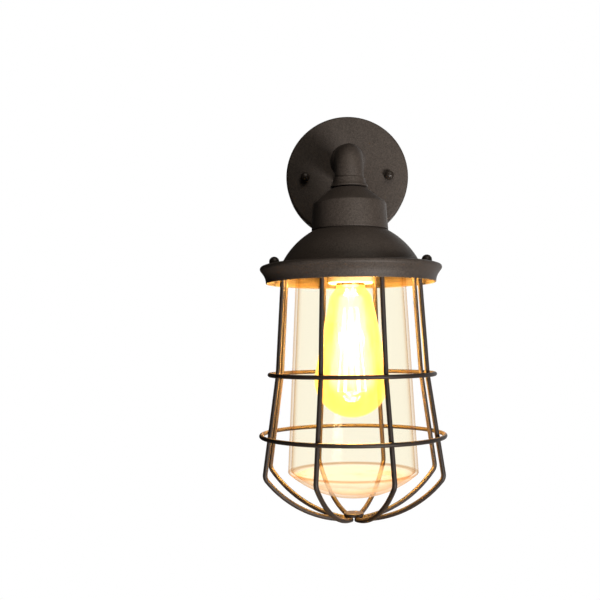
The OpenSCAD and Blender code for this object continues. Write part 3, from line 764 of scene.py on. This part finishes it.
def bulb_glass(z_middle):
    """Glass of a glowing bulb, its glow painted: a painted white glare round z_middle in front of the
    filament, then yellow, golden at the rim.
    """
    material, t = finish("bulb_glass")
    over_middle = t.height() - z_middle
    ragged = t.noise(220.0, 2.0, stretch=(1.0, 1.0, 0.15))
    patch = t.noise(75.0, 3.0, 0.6, (1.0, 1.0, 0.4)).above(0.38, 0.66)
    slant = t.slant()
    in_front = 1.0 - (slant + (ragged - 0.5) * 0.18).above(0.08, 0.30)
    painted_glare = in_front * (over_middle + ragged * 22.0).above(-32.0, -12.0)
    low = 1.0 - over_middle.above(-58.0, -16.0)
    rim = slant.above(0.76, 0.97)
    yellow = t.blend(patch * 0.8, (1.0, 0.90, 0.20, 1.0), (1.0, 0.96, 0.44, 1.0))
    golden = t.blend((rim * (0.25 + low * 0.65)).clamp(), yellow, (0.78, 0.42, 0.09, 1.0))
    # Painted glow: the glass emits light, brightest as a painted white glare in front of the filament
    painted_glow = t.principled(
        Base_Color=(0.10, 0.05, 0.01, 1.0),
        Roughness=0.06,
        Emission_Color=t.blend(painted_glare, golden, (1.0, 1.0, 0.86, 1.0)),
        Emission_Strength=1.1,
    )
    share = (0.33 + painted_glare * 0.32 + rim * 0.30 - low * 0.19 - patch * 0.06).clamp()
    t.end(t.mix_shaders(share, t.clear((1.0, 0.95, 0.72, 1.0)), painted_glow))
    return material


def stem_glass():
    material, t = finish("stem_glass")
    wave = t.noise(400.0, 2.0)
    # Painted glow: the stem emits orange light that stands for the filament's light falling on it
    body = t.principled(
        Base_Color=t.blend(wave, (0.90, 0.80, 0.60, 1.0), (0.98, 0.90, 0.72, 1.0)),
        Roughness=(0.08 + wave * 0.05).clamp(),
        Emission_Color=(1.0, 0.72, 0.30, 1.0),
        Emission_Strength=0.6,
    )
    share = (0.2 + t.slant() ** 2.0 * 0.6).clamp()
    t.end(t.mix_shaders(share, t.clear((1.0, 0.95, 0.85, 1.0)), body))
    return material


def glowing_filament():
    material, t = finish("glowing_filament")
    coil = t.noise(1800.0, 2.0)
    surface = t.principled(
        Base_Color=(0.9, 0.7, 0.4, 1.0),
        Roughness=0.5,
        Emission_Color=t.blend(coil, (1.0, 0.86, 0.52, 1.0), (1.0, 0.95, 0.78, 1.0)),
        Emission_Strength=9.0,
    )
    t.end(surface)
    return material


BRONZE = bronze_coat("bronze_powder_coat", (0.026, 0.020, 0.017, 1.0), (0.108, 0.088, 0.076, 1.0))
# The cage's wire coat is a darker copy of the bronze powder coat: painted shade for the backlit cage
SHADED_BRONZE_WIRE = bronze_coat(
    "bronze_coated_wire_shaded", (0.025, 0.018, 0.015, 1.0), (0.037, 0.028, 0.025, 1.0), relief=0.1
)
BRONZE_NUT = bronze_coat(
    "bronze_enamel", (0.016, 0.012, 0.010, 1.0), (0.056, 0.045, 0.038, 1.0), roughness=0.14
)
ZINC = plated("zinc", (0.42, 0.40, 0.36, 1.0), (0.66, 0.64, 0.58, 1.0), 900.0, 0.38)
GREEN_ZINC = plated("green_zinc", (0.07, 0.20, 0.09, 1.0), (0.13, 0.32, 0.15, 1.0), 900.0, 0.4)
STEEL = plated("steel", (0.36, 0.36, 0.37, 1.0), (0.60, 0.60, 0.61, 1.0), 1200.0, 0.32)
BRASS = plated("brass", (0.48, 0.31, 0.11, 1.0), (0.72, 0.50, 0.21, 1.0), 900.0, 0.28)
SOLDER = plated("solder", (0.45, 0.45, 0.46, 1.0), (0.70, 0.70, 0.71, 1.0), 500.0, 0.45)
FOAM = soft("foam", grey(0.012), grey(0.045), 1600.0, 0.8, 0.0003)
# Near-black rubber, which also stands as painted shade for the gap under the elbow's collar
GAP_SHADE_RUBBER = soft(
    "dark_rubber", (0.008, 0.007, 0.006, 1.0), (0.022, 0.019, 0.017, 1.0), 2500.0, 0.55, 0.00005
)
SILICONE = soft("silicone", (0.62, 0.59, 0.54, 1.0), (0.76, 0.73, 0.68, 1.0), 1400.0, 0.45, 0.00003)
PORCELAIN = glazed_porcelain()
BLACK_GLASS = black_glass()
JAR_GLASS = jar_glass()
STEM_GLASS = stem_glass()
FILAMENT = glowing_filament()


# Backplate and what holds it

foam_r = CANOPY_R - LOOSE_GAP
foam = Shape().lathe(washer_outline(foam_r, foam_r - FOAM_W, 0.0, FOAM_T, 0.35), 160, from_wall)
piece("foam_ring", foam, FOAM, "fixture", "wall_gasket")

canopy_path = rounded(
    [(ARM_THREAD_R + HOLE_GAP, CANOPY_DEPTH), (CANOPY_R, CANOPY_DEPTH), (CANOPY_R, FOAM_T)],
    [0, CANOPY_EDGE_R, 0],
)
canopy = Shape().lathe(sheet(canopy_path, SHEET_T), 192, from_wall)
backplate = piece("backplate", canopy, BRONZE, "fixture", "canopy")
stud_hole = rod_outline(STUD_HOLE_R, CANOPY_DEPTH - 3.0, CANOPY_DEPTH + HOLE_CUT_ABOVE)
drill(backplate, *(Shape().lathe(stud_hole, 32, beside_arm(x)) for x in (-STUD_X, STUD_X)))

canopy_nuts = Shape()
wall_studs = Shape()
stud_nuts = Shape()
for x in (-STUD_X, STUD_X):
    on_face = beside_arm(x)
    canopy_nuts.lathe([(r, z + CANOPY_DEPTH) for r, z in ball_nut_outline()], 48, on_face)
    wall_studs.thread(STUD_R, STUD_THREAD_DEPTH, STUD_PITCH, GAP, CANOPY_DEPTH + STUD_GRIP, on_face)
    stud_nuts.hex_nut(STUD_NUT_AF, STUD_R + THREAD_GAP, BRACKET_T, BRACKET_T + STUD_NUT_T, on_face)
piece("backplate_ball_nuts", canopy_nuts, BRONZE_NUT, "fixture", "canopy_nuts")
piece("wall_studs", wall_studs, STEEL, "fixture", "bracket_studs")
piece("wall_stud_nuts", stud_nuts, ZINC, "fixture", "stud_locknuts")


# Arm and elbow

arm_inside = CANOPY_DEPTH - SHEET_T
arm_end = -LAMP_Y - ELBOW_REACH + ARM_SOCKET - GAP
arm_nut_low = arm_inside - ARM_WASHER_T - ARM_NUT_T
arm_nut_high = arm_inside - ARM_WASHER_T
arm_thread_end = arm_nut_low - THREAD_STUB
arm_outline = [
    (ARM_BORE_R, arm_thread_end), (ARM_THREAD_R - 0.5, arm_thread_end), (ARM_THREAD_R, arm_thread_end + 0.5),
    (ARM_THREAD_R, CANOPY_DEPTH), (ARM_R - 0.4, CANOPY_DEPTH), (ARM_R, CANOPY_DEPTH + 0.4),
    (ARM_R, arm_end - 0.4), (ARM_R - 0.4, arm_end), (ARM_BORE_R, arm_end),
]
piece("arm_tube", Shape().lathe(arm_outline, 96, from_wall), BRONZE, "fixture", "arm_pipe")
arm_nut = Shape().hex_nut(ARM_NUT_AF, ARM_THREAD_R + THREAD_GAP, arm_nut_low, arm_nut_high, from_wall)
piece("arm_nut", arm_nut, ZINC, "fixture", "arm_locknut")


def elbow_leg(hole_r, hole_depth):
    """Outer and inner outlines of a leg, as (radius, distance from the bend), from the bend outwards."""
    ridge = ELBOW_REACH - COLLAR_LENGTH
    ridge_r = ELBOW_R + COLLAR_RIDGE
    outer = rounded(
        [
            (ELBOW_R, BEND_R),
            (ELBOW_R, ridge - COLLAR_RIDGE / 2),
            (ridge_r, ridge - 0.15),
            (ridge_r + COLLAR_RIDGE * 0.25, ridge + COLLAR_LENGTH / 2),
            (COLLAR_FACE_R, ELBOW_REACH - 0.5),
            (COLLAR_FACE_R - 0.35, ELBOW_REACH),
        ],
        [0, 0.5, 0.45, COLLAR_LENGTH * 0.9, 0.3, 0],
    )
    inner = [
        (hole_r + 0.4, ELBOW_REACH),
        (hole_r, ELBOW_REACH - 0.4),
        (hole_r, ELBOW_REACH - hole_depth),
        (ELBOW_CORE_R, ELBOW_REACH - hole_depth),
        (ELBOW_CORE_R, BEND_R),
    ]
    return outer, inner


def elbow_shape(segments=72, bend_steps=20):
    """A 90 degree elbow: its skin from the arm's collar round to the lamp's, and back through the bore."""
    turns = full_turn(segments)

    def ring(centre, angle, radius):
        across = Vector((0.0, -math.sin(angle), math.cos(angle)))
        sideways = Vector((1.0, 0.0, 0.0))
        middle = Vector(centre)
        return [tuple(middle + (sideways * math.cos(t) + across * math.sin(t)) * radius) for t in turns]

    def along_arm(outline):
        return [ring((0.0, h, 0.0), 0.0, r) for r, h in outline]

    def along_neck(outline):
        return [ring((0.0, 0.0, -h), math.pi / 2, r) for r, h in outline]

    def bend(radius):
        out = []
        for i in range(1, bend_steps):
            a = math.pi / 2 * i / bend_steps
            centre = (0.0, BEND_R - BEND_R * math.sin(a), -BEND_R + BEND_R * math.cos(a))
            out.append(ring(centre, a, radius))
        return out

    arm_outer, arm_inner = elbow_leg(ARM_R + THREAD_GAP, ARM_SOCKET)
    neck_outer, neck_inner = elbow_leg(NECK_R + THREAD_GAP, NECK_GRIP + 1.0)
    arm_outer, neck_outer = held(arm_outer), held(neck_outer)
    rings = along_arm(arm_outer[::-1]) + bend(ELBOW_R) + along_neck(neck_outer)
    rings += along_neck(neck_inner) + bend(ELBOW_CORE_R)[::-1] + along_arm(arm_inner[::-1])
    return Shape().skin(rings, loop=True)


piece("elbow_casting", elbow_shape(), BRONZE, "fixture", "elbow")

# The ring is black rubber, near-black so that it also stands as painted shade for the dark gap under the
# collar
neck_ring_outline = washer_outline(NECK_WASHER_R, NECK_R + HOLE_GAP, Z_CUP_TOP, Z_COLLAR, 0.3)
neck_ring = Shape().lathe(neck_ring_outline, 96)
piece("neck_ring", neck_ring, GAP_SHADE_RUBBER, "fixture", "neck_washer")


# Cup and hood

cup_path = rounded(
    [
        (NECK_R + HOLE_GAP, Z_CUP_TOP),
        (CUP_TOP_R, Z_CUP_TOP),
        (CUP_SHOULDER_R, Z_CUP_TOP - CUP_SHOULDER_H),
        (CUP_MOUTH_R, Z_CUP_MOUTH),
    ],
    [0, 2 * SHEET_T, 2.5 * SHEET_T, 0],
)
cup = Shape().lathe(sheet(cup_path, SHEET_T), 160)
piece("cup", cup, BRONZE, "fixture", "socket_cup")

dome_start = Vector((CUP_MOUTH_R - SHEET_T, Z_CUP_MOUTH - GAP))
dome_end = Vector((DOME_R, Z_FLANGE))
dome_chord = dome_end - dome_start
dome_side = Vector((-dome_chord.y, dome_chord.x)).normalized()
dome_sink = math.sqrt(DOME_CURVE_R ** 2 - dome_chord.length_squared / 4)
dome_centre = (dome_start + dome_end) / 2 - dome_side * dome_sink
dome_flat_r = dome_start.x - DOME_FLAT_MARGIN
dome_path = arc(
    dome_centre,
    DOME_CURVE_R,
    math.degrees(math.acos((dome_flat_r - dome_centre.x) / DOME_CURVE_R)),
    math.degrees(math.asin((dome_end.y - dome_centre.y) / DOME_CURVE_R)),
    1.2,
)
z_dome_top = dome_path[0][1]
rim_path = rounded(
    [
        dome_path[-2],
        tuple(dome_end),
        (FLANGE_R, Z_FLANGE),
        (BEAD_R, Z_FLANGE - BEAD_DROP),
        (SKIRT_R + WAIST_OVER, Z_FLANGE - WAIST_DROP),
        (SKIRT_R, Z_SKIRT),
    ],
    [0, SHEET_T * 0.6, 4 * SHEET_T, 2.1 * SHEET_T, 0.85 * RIM_H, 0],
)
hood_path = [(NECK_R + HOLE_GAP, z_dome_top)] + dome_path[:-2] + rim_path
hood_shape = Shape().lathe(sheet(hood_path, SHEET_T), 224)
hood = piece("hood_spinning", hood_shape, BRONZE, "fixture", "hood")
flange_hole = rod_outline(STUD_HOLE_R, Z_FLANGE - 4.0, Z_FLANGE + HOLE_CUT_ABOVE)
drill(hood, *(Shape().lathe(flange_hole, 32, beside_lamp(x)) for x in (-HOOD_NUT_X, HOOD_NUT_X)))

for side, x in (("left", -HOOD_NUT_X), ("right", HOOD_NUT_X)):
    on_flange = beside_lamp(x)
    outline = washer_outline(BALL_R + WASHER_OVER, STUD_HOLE_R, Z_FLANGE, Z_WASHER - TOUCH_GAP, 0.2)
    washer = Shape().lathe(outline, 48, on_flange)
    piece("flange_washer_" + side, washer, STEEL, side + "_washer", "hood_washer_" + side)
    ball = Shape().lathe([(r, z + Z_WASHER) for r, z in ball_nut_outline()], 48, on_flange)
    piece("flange_ball_nut_" + side, ball, BRONZE_NUT, side + "_nut", "hood_nut_" + side)

seal_r = HOOD_NUT_X - STUD_R - LOOSE_GAP
seal_outline = washer_outline(seal_r, seal_r - HOOD_GASKET_W, Z_PLATE, Z_FLANGE_UNDER, 0.25)
piece("hood_seal", Shape().lathe(seal_outline), SILICONE, "fixture", "hood_gasket")


# Lampholder

z_strap = z_dome_top - SHEET_T
z_nipple_washer = z_strap - STRAP_T
z_nipple_nut = z_nipple_washer - LOCK_WASHER_T
z_nipple_end = z_nipple_nut - NECK_NUT_T - THREAD_STUB
z_socket_top = z_strap - STRAP_LEG_H
z_socket_floor = z_socket_top - SOCKET_FLOOR
z_socket_mouth = z_socket_top - SOCKET_H
z_bulb_top = z_socket_floor - CONTACT_REACH - LOOSE_GAP
z_bulb_bottom = z_bulb_top - BULB_LENGTH
z_bulb_ball = z_bulb_bottom + BULB_R

neck = Shape().thread(
    NECK_R, NECK_THREAD_DEPTH, NECK_PITCH, z_nipple_end, Z_COLLAR + NECK_GRIP, bore=NECK_BORE_R, segments=48
)
piece("neck_tube", neck, ZINC, "fixture", "neck_nipple")
neck_nut = Shape().hex_nut(NECK_NUT_AF, NECK_R + THREAD_GAP, z_nipple_nut - NECK_NUT_T, z_nipple_nut)
piece("neck_nut", neck_nut, ZINC, "fixture", "nipple_locknut")

z_step = z_socket_floor - 2 * SOCKET_STEP
step_r = SOCKET_R - SOCKET_STEP
body_side = rounded(
    [
        (step_r - 6.0, z_socket_top),
        (step_r, z_socket_top),
        (step_r, z_step),
        (SOCKET_R, z_step - SOCKET_STEP),
        (SOCKET_R, z_socket_mouth),
        (SOCKET_BORE_R, z_socket_mouth),
        (SOCKET_BORE_R, z_socket_floor),
    ],
    [0, SOCKET_STEP, 0.8, 1.0, 1.2, 0.6, 0],
)
body_outline = [(0.0, z_socket_top)] + body_side + [(0.0, z_socket_floor)]
body = Shape().lathe(body_outline, 96)
piece("porcelain_lampholder", body, PORCELAIN, "fixture", "socket_body")

z_shell_low = z_socket_mouth + SHELL_ABOVE_MOUTH
shell = Shape().thread(
    SOCKET_BORE_R - GAP, SHELL_THREAD_DEPTH, CAP_PITCH, z_shell_low, z_socket_floor - GAP, wall=SHELL_T,
    segments=64,
)
piece("screw_shell", shell, BRASS, "fixture", "socket_shell")


# Cage

plate_outline = washer_outline(PLATE_R, PLATE_HOLE_R, Z_PLATE_UNDER, Z_PLATE, 0.25)
plate = Shape().lathe(plate_outline, 160)
piece("cage_ring_plate", plate, BRONZE, "cage", "cage_plate")
cage_studs = Shape()
for x in (-HOOD_NUT_X, HOOD_NUT_X):
    z_stud_top = Z_WASHER + STUD_GRIP
    cage_studs.thread(STUD_R, STUD_THREAD_DEPTH, STUD_PITCH, Z_PLATE, z_stud_top, beside_lamp(x))
piece("cage_plate_studs", cage_studs, STEEL, "cage", "cage_studs")

# The rib's path: straight flanks with a slight knee between, a tight bend and the bowl. The bend's
# centre lies RIB_BEND_R inside the flank and bend_reach from the bowl's centre.
z_cage_bottom = Z_FLANGE - CAGE_DROP
z_bowl_centre = z_cage_bottom + RIB_R + BOWL_R
z_flank_end = z_bowl_centre - math.sqrt(BOWL_R ** 2 - RIB_FLANK_R ** 2)
flank_slope = (RIB_FLANK_R - RIB_RING_R) / (Z_UPPER - z_flank_end)
flank_length = math.sqrt(1 + flank_slope ** 2)
bend_reach = BOWL_R - RIB_BEND_R
bend_a = RIB_RING_R - RIB_BEND_R * flank_length + flank_slope * (Z_UPPER - z_bowl_centre)
bend_root = math.sqrt((bend_a * flank_slope) ** 2 - flank_length ** 2 * (bend_a ** 2 - bend_reach ** 2))
bend_dz = (bend_a * flank_slope - bend_root) / flank_length ** 2
bend_centre = (bend_a - flank_slope * bend_dz, z_bowl_centre + bend_dz)
flank_angle = math.degrees(math.atan(flank_slope))
bowl_angle = math.degrees(math.atan2(bend_dz, bend_centre[0]))
bowl_end_angle = -math.degrees(math.acos(RIB_END_R / BOWL_R))
bend_start = (
    bend_centre[0] + RIB_BEND_R / flank_length,
    bend_centre[1] + RIB_BEND_R * flank_slope / flank_length,
)
# At its top the rib swells into its weld: distance under the plate and what the radius gains there
weld_steps = ((0.0, 1.0), (0.5, 0.45), (1.1, 0.15), (1.8, 0.0))
rib_heel = [(RIB_TOP_R, Z_PLATE_UNDER - drop) for drop, _ in weld_steps]
rib_path = (
    rib_heel
    + corner(rib_heel[0], (RIB_RING_R, Z_UPPER), bend_start, KNEE_R, 2.0)
    + arc(bend_centre, RIB_BEND_R, flank_angle, bowl_angle, 6.0)
    + arc((0.0, z_bowl_centre), BOWL_R, bowl_angle, bowl_end_angle, 3.0)[1:]
)
rib_radii = [RIB_R + swell for _, swell in weld_steps] + [RIB_R] * (len(rib_path) - len(weld_steps))
rib_angles = [math.radians((i + 0.5) * 360 / RIB_COUNT) for i in range(RIB_COUNT)]

for number, angle in enumerate(rib_angles, 1):
    wire = Shape().tube([circled(r, angle, z) for r, z in rib_path], rib_radii, 20, 0.15)
    piece("cage_wire_%d" % number, wire, SHADED_BRONZE_WIRE, "cage", "cage_rib_%d" % number)

for name, node, z in (("upper_hoop", "upper_ring", Z_UPPER), ("lower_hoop", "lower_ring", Z_LOWER)):
    flank_r = RIB_RING_R + flank_slope * (Z_UPPER - z)
    hoop_r = flank_r + RIB_R * flank_length + RING_R - WELD
    hoop = Shape().tube([circled(hoop_r, t, z) for t in full_turn(144)], RING_R, 20, closed=True)
    for angle in rib_angles:
        out = Vector(circled(1.0, angle, 0.0))
        along = Vector((-out.y, out.x, 0.0))
        touch = out * (hoop_r - RING_R + WELD_BEAD_DEPTH) + Vector((0.0, 0.0, z))
        for turn in (-1, 1):
            hoop.bead(touch + along * WELD_BEAD_OFFSET * turn, along, out, WELD_BEAD)
    piece(name, hoop, SHADED_BRONZE_WIRE, "cage", node)

z_disc = z_bowl_centre - math.sqrt(BOWL_R ** 2 - DISC_R ** 2) + RIB_R - WELD
disc = Shape().lathe(rod_outline(DISC_R, z_disc, z_disc + DISC_T, 0.5), 72)
piece("bottom_boss", disc, SHADED_BRONZE_WIRE, "cage", "bottom_disc")


# Jar


jar_bowl_r = (JAR_BOTTOM_R ** 2 + JAR_BOTTOM_H ** 2) / (2 * JAR_BOTTOM_H)
z_jar_bowl = Z_JAR_CORNER - JAR_BOTTOM_H + jar_bowl_r


def jar_bottom(inset):
    """Points from the jar's crease down its bowl-shaped bottom to the axis."""
    r = jar_bowl_r - inset
    crease = math.degrees(math.acos((JAR_BOTTOM_R - inset) / r))
    return arc((0.0, z_jar_bowl), r, -crease, -90.0, 1.5)[:-1] + [(0.0, z_jar_bowl - r)]


jar_outside = jar_bottom(0.0)
jar_inside = jar_bottom(JAR_WALL)
jar_lip = rounded(
    [
        (JAR_TOP_R - JAR_WALL, Z_LIP_TOP),
        (LIP_R, Z_LIP_TOP),
        (LIP_R, Z_LIP_UNDER),
        (JAR_TOP_R, Z_LIP_UNDER),
        jar_outside[0],
        jar_outside[1],
    ],
    [0, 1.0, 1.0, 1.5, 1.4, 0],
)
jar = Shape().lathe(jar_inside[::-1] + jar_lip + jar_outside[2:], 160)
piece("glass_jar", jar, JAR_GLASS, "cage", "glass_shade")
lip_ring = Shape().lathe(washer_outline(LIP_R, PLATE_HOLE_R, Z_PLATE, Z_LIP_UNDER, 0.2))
piece("jar_lip_ring", lip_ring, SILICONE, "cage", "glass_gasket")


# Bulb

z_insulator = z_bulb_top - CONTACT_H
z_cap_top = z_insulator - INSULATOR_H
z_cap_shoulder = z_cap_top - CAP_SHOULDER_H
z_cap_end = z_bulb_top - CAP_LENGTH
z_strands_low = z_bulb_bottom + STRAND_CLEARANCE
z_strands_high = z_strands_low + STRAND_LENGTH
z_strands_middle = (z_strands_low + z_strands_high) / 2


def bulb_outline(inset):
    """The glass from its neck in the cap down to the tip, at an inset from its outer face."""
    ball = BULB_R - inset
    neck_r = BULB_NECK_R - inset
    angle = math.radians(FLANK_ANGLE)
    tangent = (ball * math.cos(angle), z_bulb_ball + ball * math.sin(angle))
    z_shoulder = z_cap_end - NECK_OVERLAP
    shoulder = (tangent[0] - (z_shoulder - tangent[1]) * math.tan(angle), z_shoulder)
    neck = [(neck_r, z_cap_end + NECK_OVERLAP), (neck_r, z_cap_end - 2.0)]
    top = rounded(neck + [shoulder, tangent], [0, 3.0, 12.0, 0])
    ball_arc = arc((0.0, z_bulb_ball), ball, FLANK_ANGLE - 3.0, -90.0, 3.0)
    return top + ball_arc[:-1] + [(0.0, z_bulb_ball - ball)]


envelope = Shape().lathe(bulb_outline(BULB_WALL)[::-1] + bulb_outline(0.0), 96)
piece("bulb_envelope", envelope, bulb_glass(z_strands_middle), "bulb", "bulb_glass")

contact_outline = [
    (0.0, z_insulator), (4.7, z_insulator), (4.5, z_bulb_top - 0.5),
    (3.4, z_bulb_top - 0.1), (0.0, z_bulb_top),
]
contact = Shape().lathe(contact_outline, 40)
piece("bulb_solder_contact", contact, SOLDER, "bulb_foot", "bulb_contact")
insulator_outline = [
    (0.0, z_insulator), (5.0, z_insulator), (5.6, z_insulator - 0.3),
    (9.6, z_cap_top + 0.5), (10.0, z_cap_top), (0.0, z_cap_top),
]
insulator = Shape().lathe(insulator_outline, 48)
piece("bulb_glass_insulator", insulator, BLACK_GLASS, "bulb", "bulb_insulator")
cap = Shape().thread(
    CAP_R, CAP_THREAD_DEPTH, CAP_PITCH, z_cap_end, z_cap_shoulder, wall=CAP_T, segments=64
)
cap_shoulder = [(8.0, z_cap_top), (10.4, z_cap_top), (CAP_R - CAP_THREAD_DEPTH, z_cap_shoulder)]
cap.lathe(sheet(cap_shoulder, CAP_T), 64)
piece("bulb_screw_cap", cap, BRASS, "bulb", "bulb_cap")

stem_neck = BULB_NECK_R - BULB_WALL - GAP
z_flare = z_cap_end + NECK_OVERLAP - 1.0
stem_profile = rounded(
    [
        (0.0, z_flare),
        (stem_neck, z_flare),
        (stem_neck, z_flare - 1.0),
        (2 * STEM_R, z_cap_end),
        (STEM_R, z_strands_high + 2 * STEM_R),
        (STEM_R, z_strands_low - STEM_R + 1.2),
        (STEM_R * 0.6, z_strands_low - STEM_R),
        (0.0, z_strands_low - STEM_R),
    ],
    [0, 0, 0, 2.0, 3.0, 0, 0, 0],
)
stem = Shape().lathe(stem_profile, 40)
piece("bulb_glass_stem", stem, STEM_GLASS, "bulb", "bulb_stem")

# Strands run up and down between the hooks, one on each side of a hook, and the first has only one
hooks = Shape()
strands = Shape()
step = 2 * math.pi / HOOK_COUNT
hook_start_r = STEM_R - HOOK_ROOT
for i in range(HOOK_COUNT):
    low_angle = i * step
    high_angle = (i + 0.5) * step
    for angle, end_r, z in (
        (low_angle, STRAND_BOTTOM_R, z_strands_low),
        (high_angle, STRAND_TOP_R, z_strands_high),
    ):
        hook = [circled(hook_start_r + (end_r - hook_start_r) * k / 4, angle, z) for k in range(5)]
        hooks.tube(hook, HOOK_R, 8)
    for side in (-1, 1):
        if i == 0 and side < 0:
            continue
        foot_angle = low_angle + side * math.asin(STRAND_OFF_HOOK / STRAND_BOTTOM_R)
        head_angle = (i + side * 0.5) * step - side * math.asin(STRAND_OFF_HOOK / STRAND_TOP_R)
        foot = Vector(circled(STRAND_BOTTOM_R, foot_angle, z_strands_low))
        head = Vector(circled(STRAND_TOP_R, head_angle, z_strands_high))
        strands.tube([tuple(foot.lerp(head, k / 6)) for k in range(7)], STRAND_R, 10)
piece("filament_hooks", hooks, STEEL, "bulb", "bulb_wires")
piece("glowing_strands", strands, FILAMENT, "bulb", "bulb_filaments")


# The pieces whose solids already have the right form get their finishes

for node, material in {
    "mounting_bracket": ZINC,
    "ground_screw": GREEN_ZINC,
    "arm_lockwasher": ZINC,
    "nipple_lockwasher": ZINC,
    "socket_bracket": ZINC,
    "socket_screws": ZINC,
    "socket_contact": BRASS,
}.items():
    slots = nodes[node].data.materials
    slots.clear()
    slots.append(material)


# Floor, light and camera, in metres and watts

FLOOR_R = 0.38
FLOOR_Z = -0.50
KEY_PLACE = (0.745, -1.46, -0.81)
TOP_FILL_PLACE = (0.35, -0.95, 1.00)
BACK_FILL_PLACE = (0.25, 1.35, 0.30)
CAMERA_PLACE = (-0.01477, -0.83435, -0.16214)
CAMERA_YAW = math.radians(-2.311)
CAMERA_PITCH = math.radians(2.885)
CAMERA_ROLL = math.radians(-0.615)
middle = Vector((0.0, LAMP_Y * MM, -0.16))
strands_middle = Vector((0.0, LAMP_Y * MM, z_strands_middle * MM))
up = Vector((0.0, 0.0, 1.0))

floor_mesh = bpy.data.meshes.new("floor")
rings = [[circled(FLOOR_R * i / 8, t, 0.0) for t in full_turn(64)] for i in range(1, 9)]
floor_shape = Shape().skin([[(0.0, 0.0, 0.0)]] + rings, lambda x, y, z: (x, y, z))
floor_mesh.from_pydata(floor_shape.points, [], floor_shape.faces)
floor = put("floor", floor_mesh)
floor.location = (0.0, LAMP_Y * MM, FLOOR_Z)
floor_material, t = finish("pale_floor")
radius = t.add("ShaderNodeVectorMath", {"operation": "LENGTH"}, {0: t.place()}, output="Value")
fade = 1.0 - radius.above(FLOOR_R * 0.35, FLOOR_R * 0.98)
matte = t.principled(Base_Color=grey(0.86), Roughness=0.9, Specular_IOR_Level=0.1)
t.end(t.mix_shaders(fade * 0.5, t.clear(grey(1.0)), matte))
floor_mesh.materials.append(floor_material)

# The world is dim for the light on the object, and white for the eye, through glass and, where it lies
# behind the object, in reflections
world = bpy.data.worlds.new("studio")
bpy.context.scene.world = world
sky = Tree(world)
camera_ray, glossy_ray, transmission_ray = (
    sky.add("ShaderNodeLightPath", output=kind)
    for kind in ("Is Camera Ray", "Is Glossy Ray", "Is Transmission Ray")
)
direction = sky.add("ShaderNodeTexCoord", output="Generated")
behind = (sky.part(direction, "X") * 0.45 + sky.part(direction, "Y") * 0.89).above(0.72, 1.0)
seen = (camera_ray + transmission_ray + glossy_ray * behind).clamp()
dim = sky.add("ShaderNodeBackground", {}, {"Color": (1.0, 0.93, 0.84, 1.0), "Strength": 0.03})
white = sky.add("ShaderNodeBackground", {}, {"Color": grey(1.0), "Strength": 1.0})
sky.end(sky.mix_shaders(seen, dim, white), "ShaderNodeOutputWorld")


def lamp(name, kind, energy, colour, place, target):
    """Puts a lamp at a place, turned to a target."""
    light = bpy.data.lights.new(name, kind)
    light.energy = energy
    light.color = colour
    obj = put(name, light)
    obj.location = place
    obj.rotation_euler = (Vector(target) - Vector(place)).to_track_quat("-Z", "Y").to_euler()
    return light


for name, place, size, energy, colour in (
    ("key", KEY_PLACE, 0.7, 29.0, (1.0, 0.955, 0.905)),
    ("top_fill", TOP_FILL_PLACE, 0.9, 5.5, (1.0, 0.90, 0.77)),
    ("back_fill", BACK_FILL_PLACE, 0.8, 1.5, (1.0, 0.95, 0.88)),
):
    area = lamp(name, "AREA", energy, colour, place, middle)
    area.shape = "DISK"
    area.size = size

for kind, energy, rise in (("POINT", 16.0, 0.0), ("SPOT", 32.0, 0.015)):
    place = strands_middle + up * rise
    glow = lamp("filament_light", kind, energy, (1.0, 0.60, 0.25), place, place + up)
    glow.shadow_soft_size = 0.014
    if kind == "SPOT":
        glow.spot_size = math.radians(132.0)
        glow.spot_blend = 0.25

level_right = Vector((math.cos(CAMERA_YAW), -math.sin(CAMERA_YAW), 0.0))
level_ahead = Vector((math.sin(CAMERA_YAW), math.cos(CAMERA_YAW), 0.0))
ahead = level_ahead * math.cos(CAMERA_PITCH) + up * math.sin(CAMERA_PITCH)
above = up * math.cos(CAMERA_PITCH) - level_ahead * math.sin(CAMERA_PITCH)
right = level_right * math.cos(CAMERA_ROLL) + above * math.sin(CAMERA_ROLL)
top = above * math.cos(CAMERA_ROLL) - level_right * math.sin(CAMERA_ROLL)
lens = bpy.data.cameras.new("camera")
lens.lens = 50.0
lens.sensor_width = 36.0
camera = put("camera", lens)
turned = Matrix((right, top, -ahead)).transposed().to_4x4()
camera.matrix_world = Matrix.Translation(CAMERA_PLACE) @ turned
bpy.context.scene.camera = camera

bpy.context.scene.view_settings.view_transform = "Standard"
bpy.context.scene.cycles.transparent_max_bounces = 32
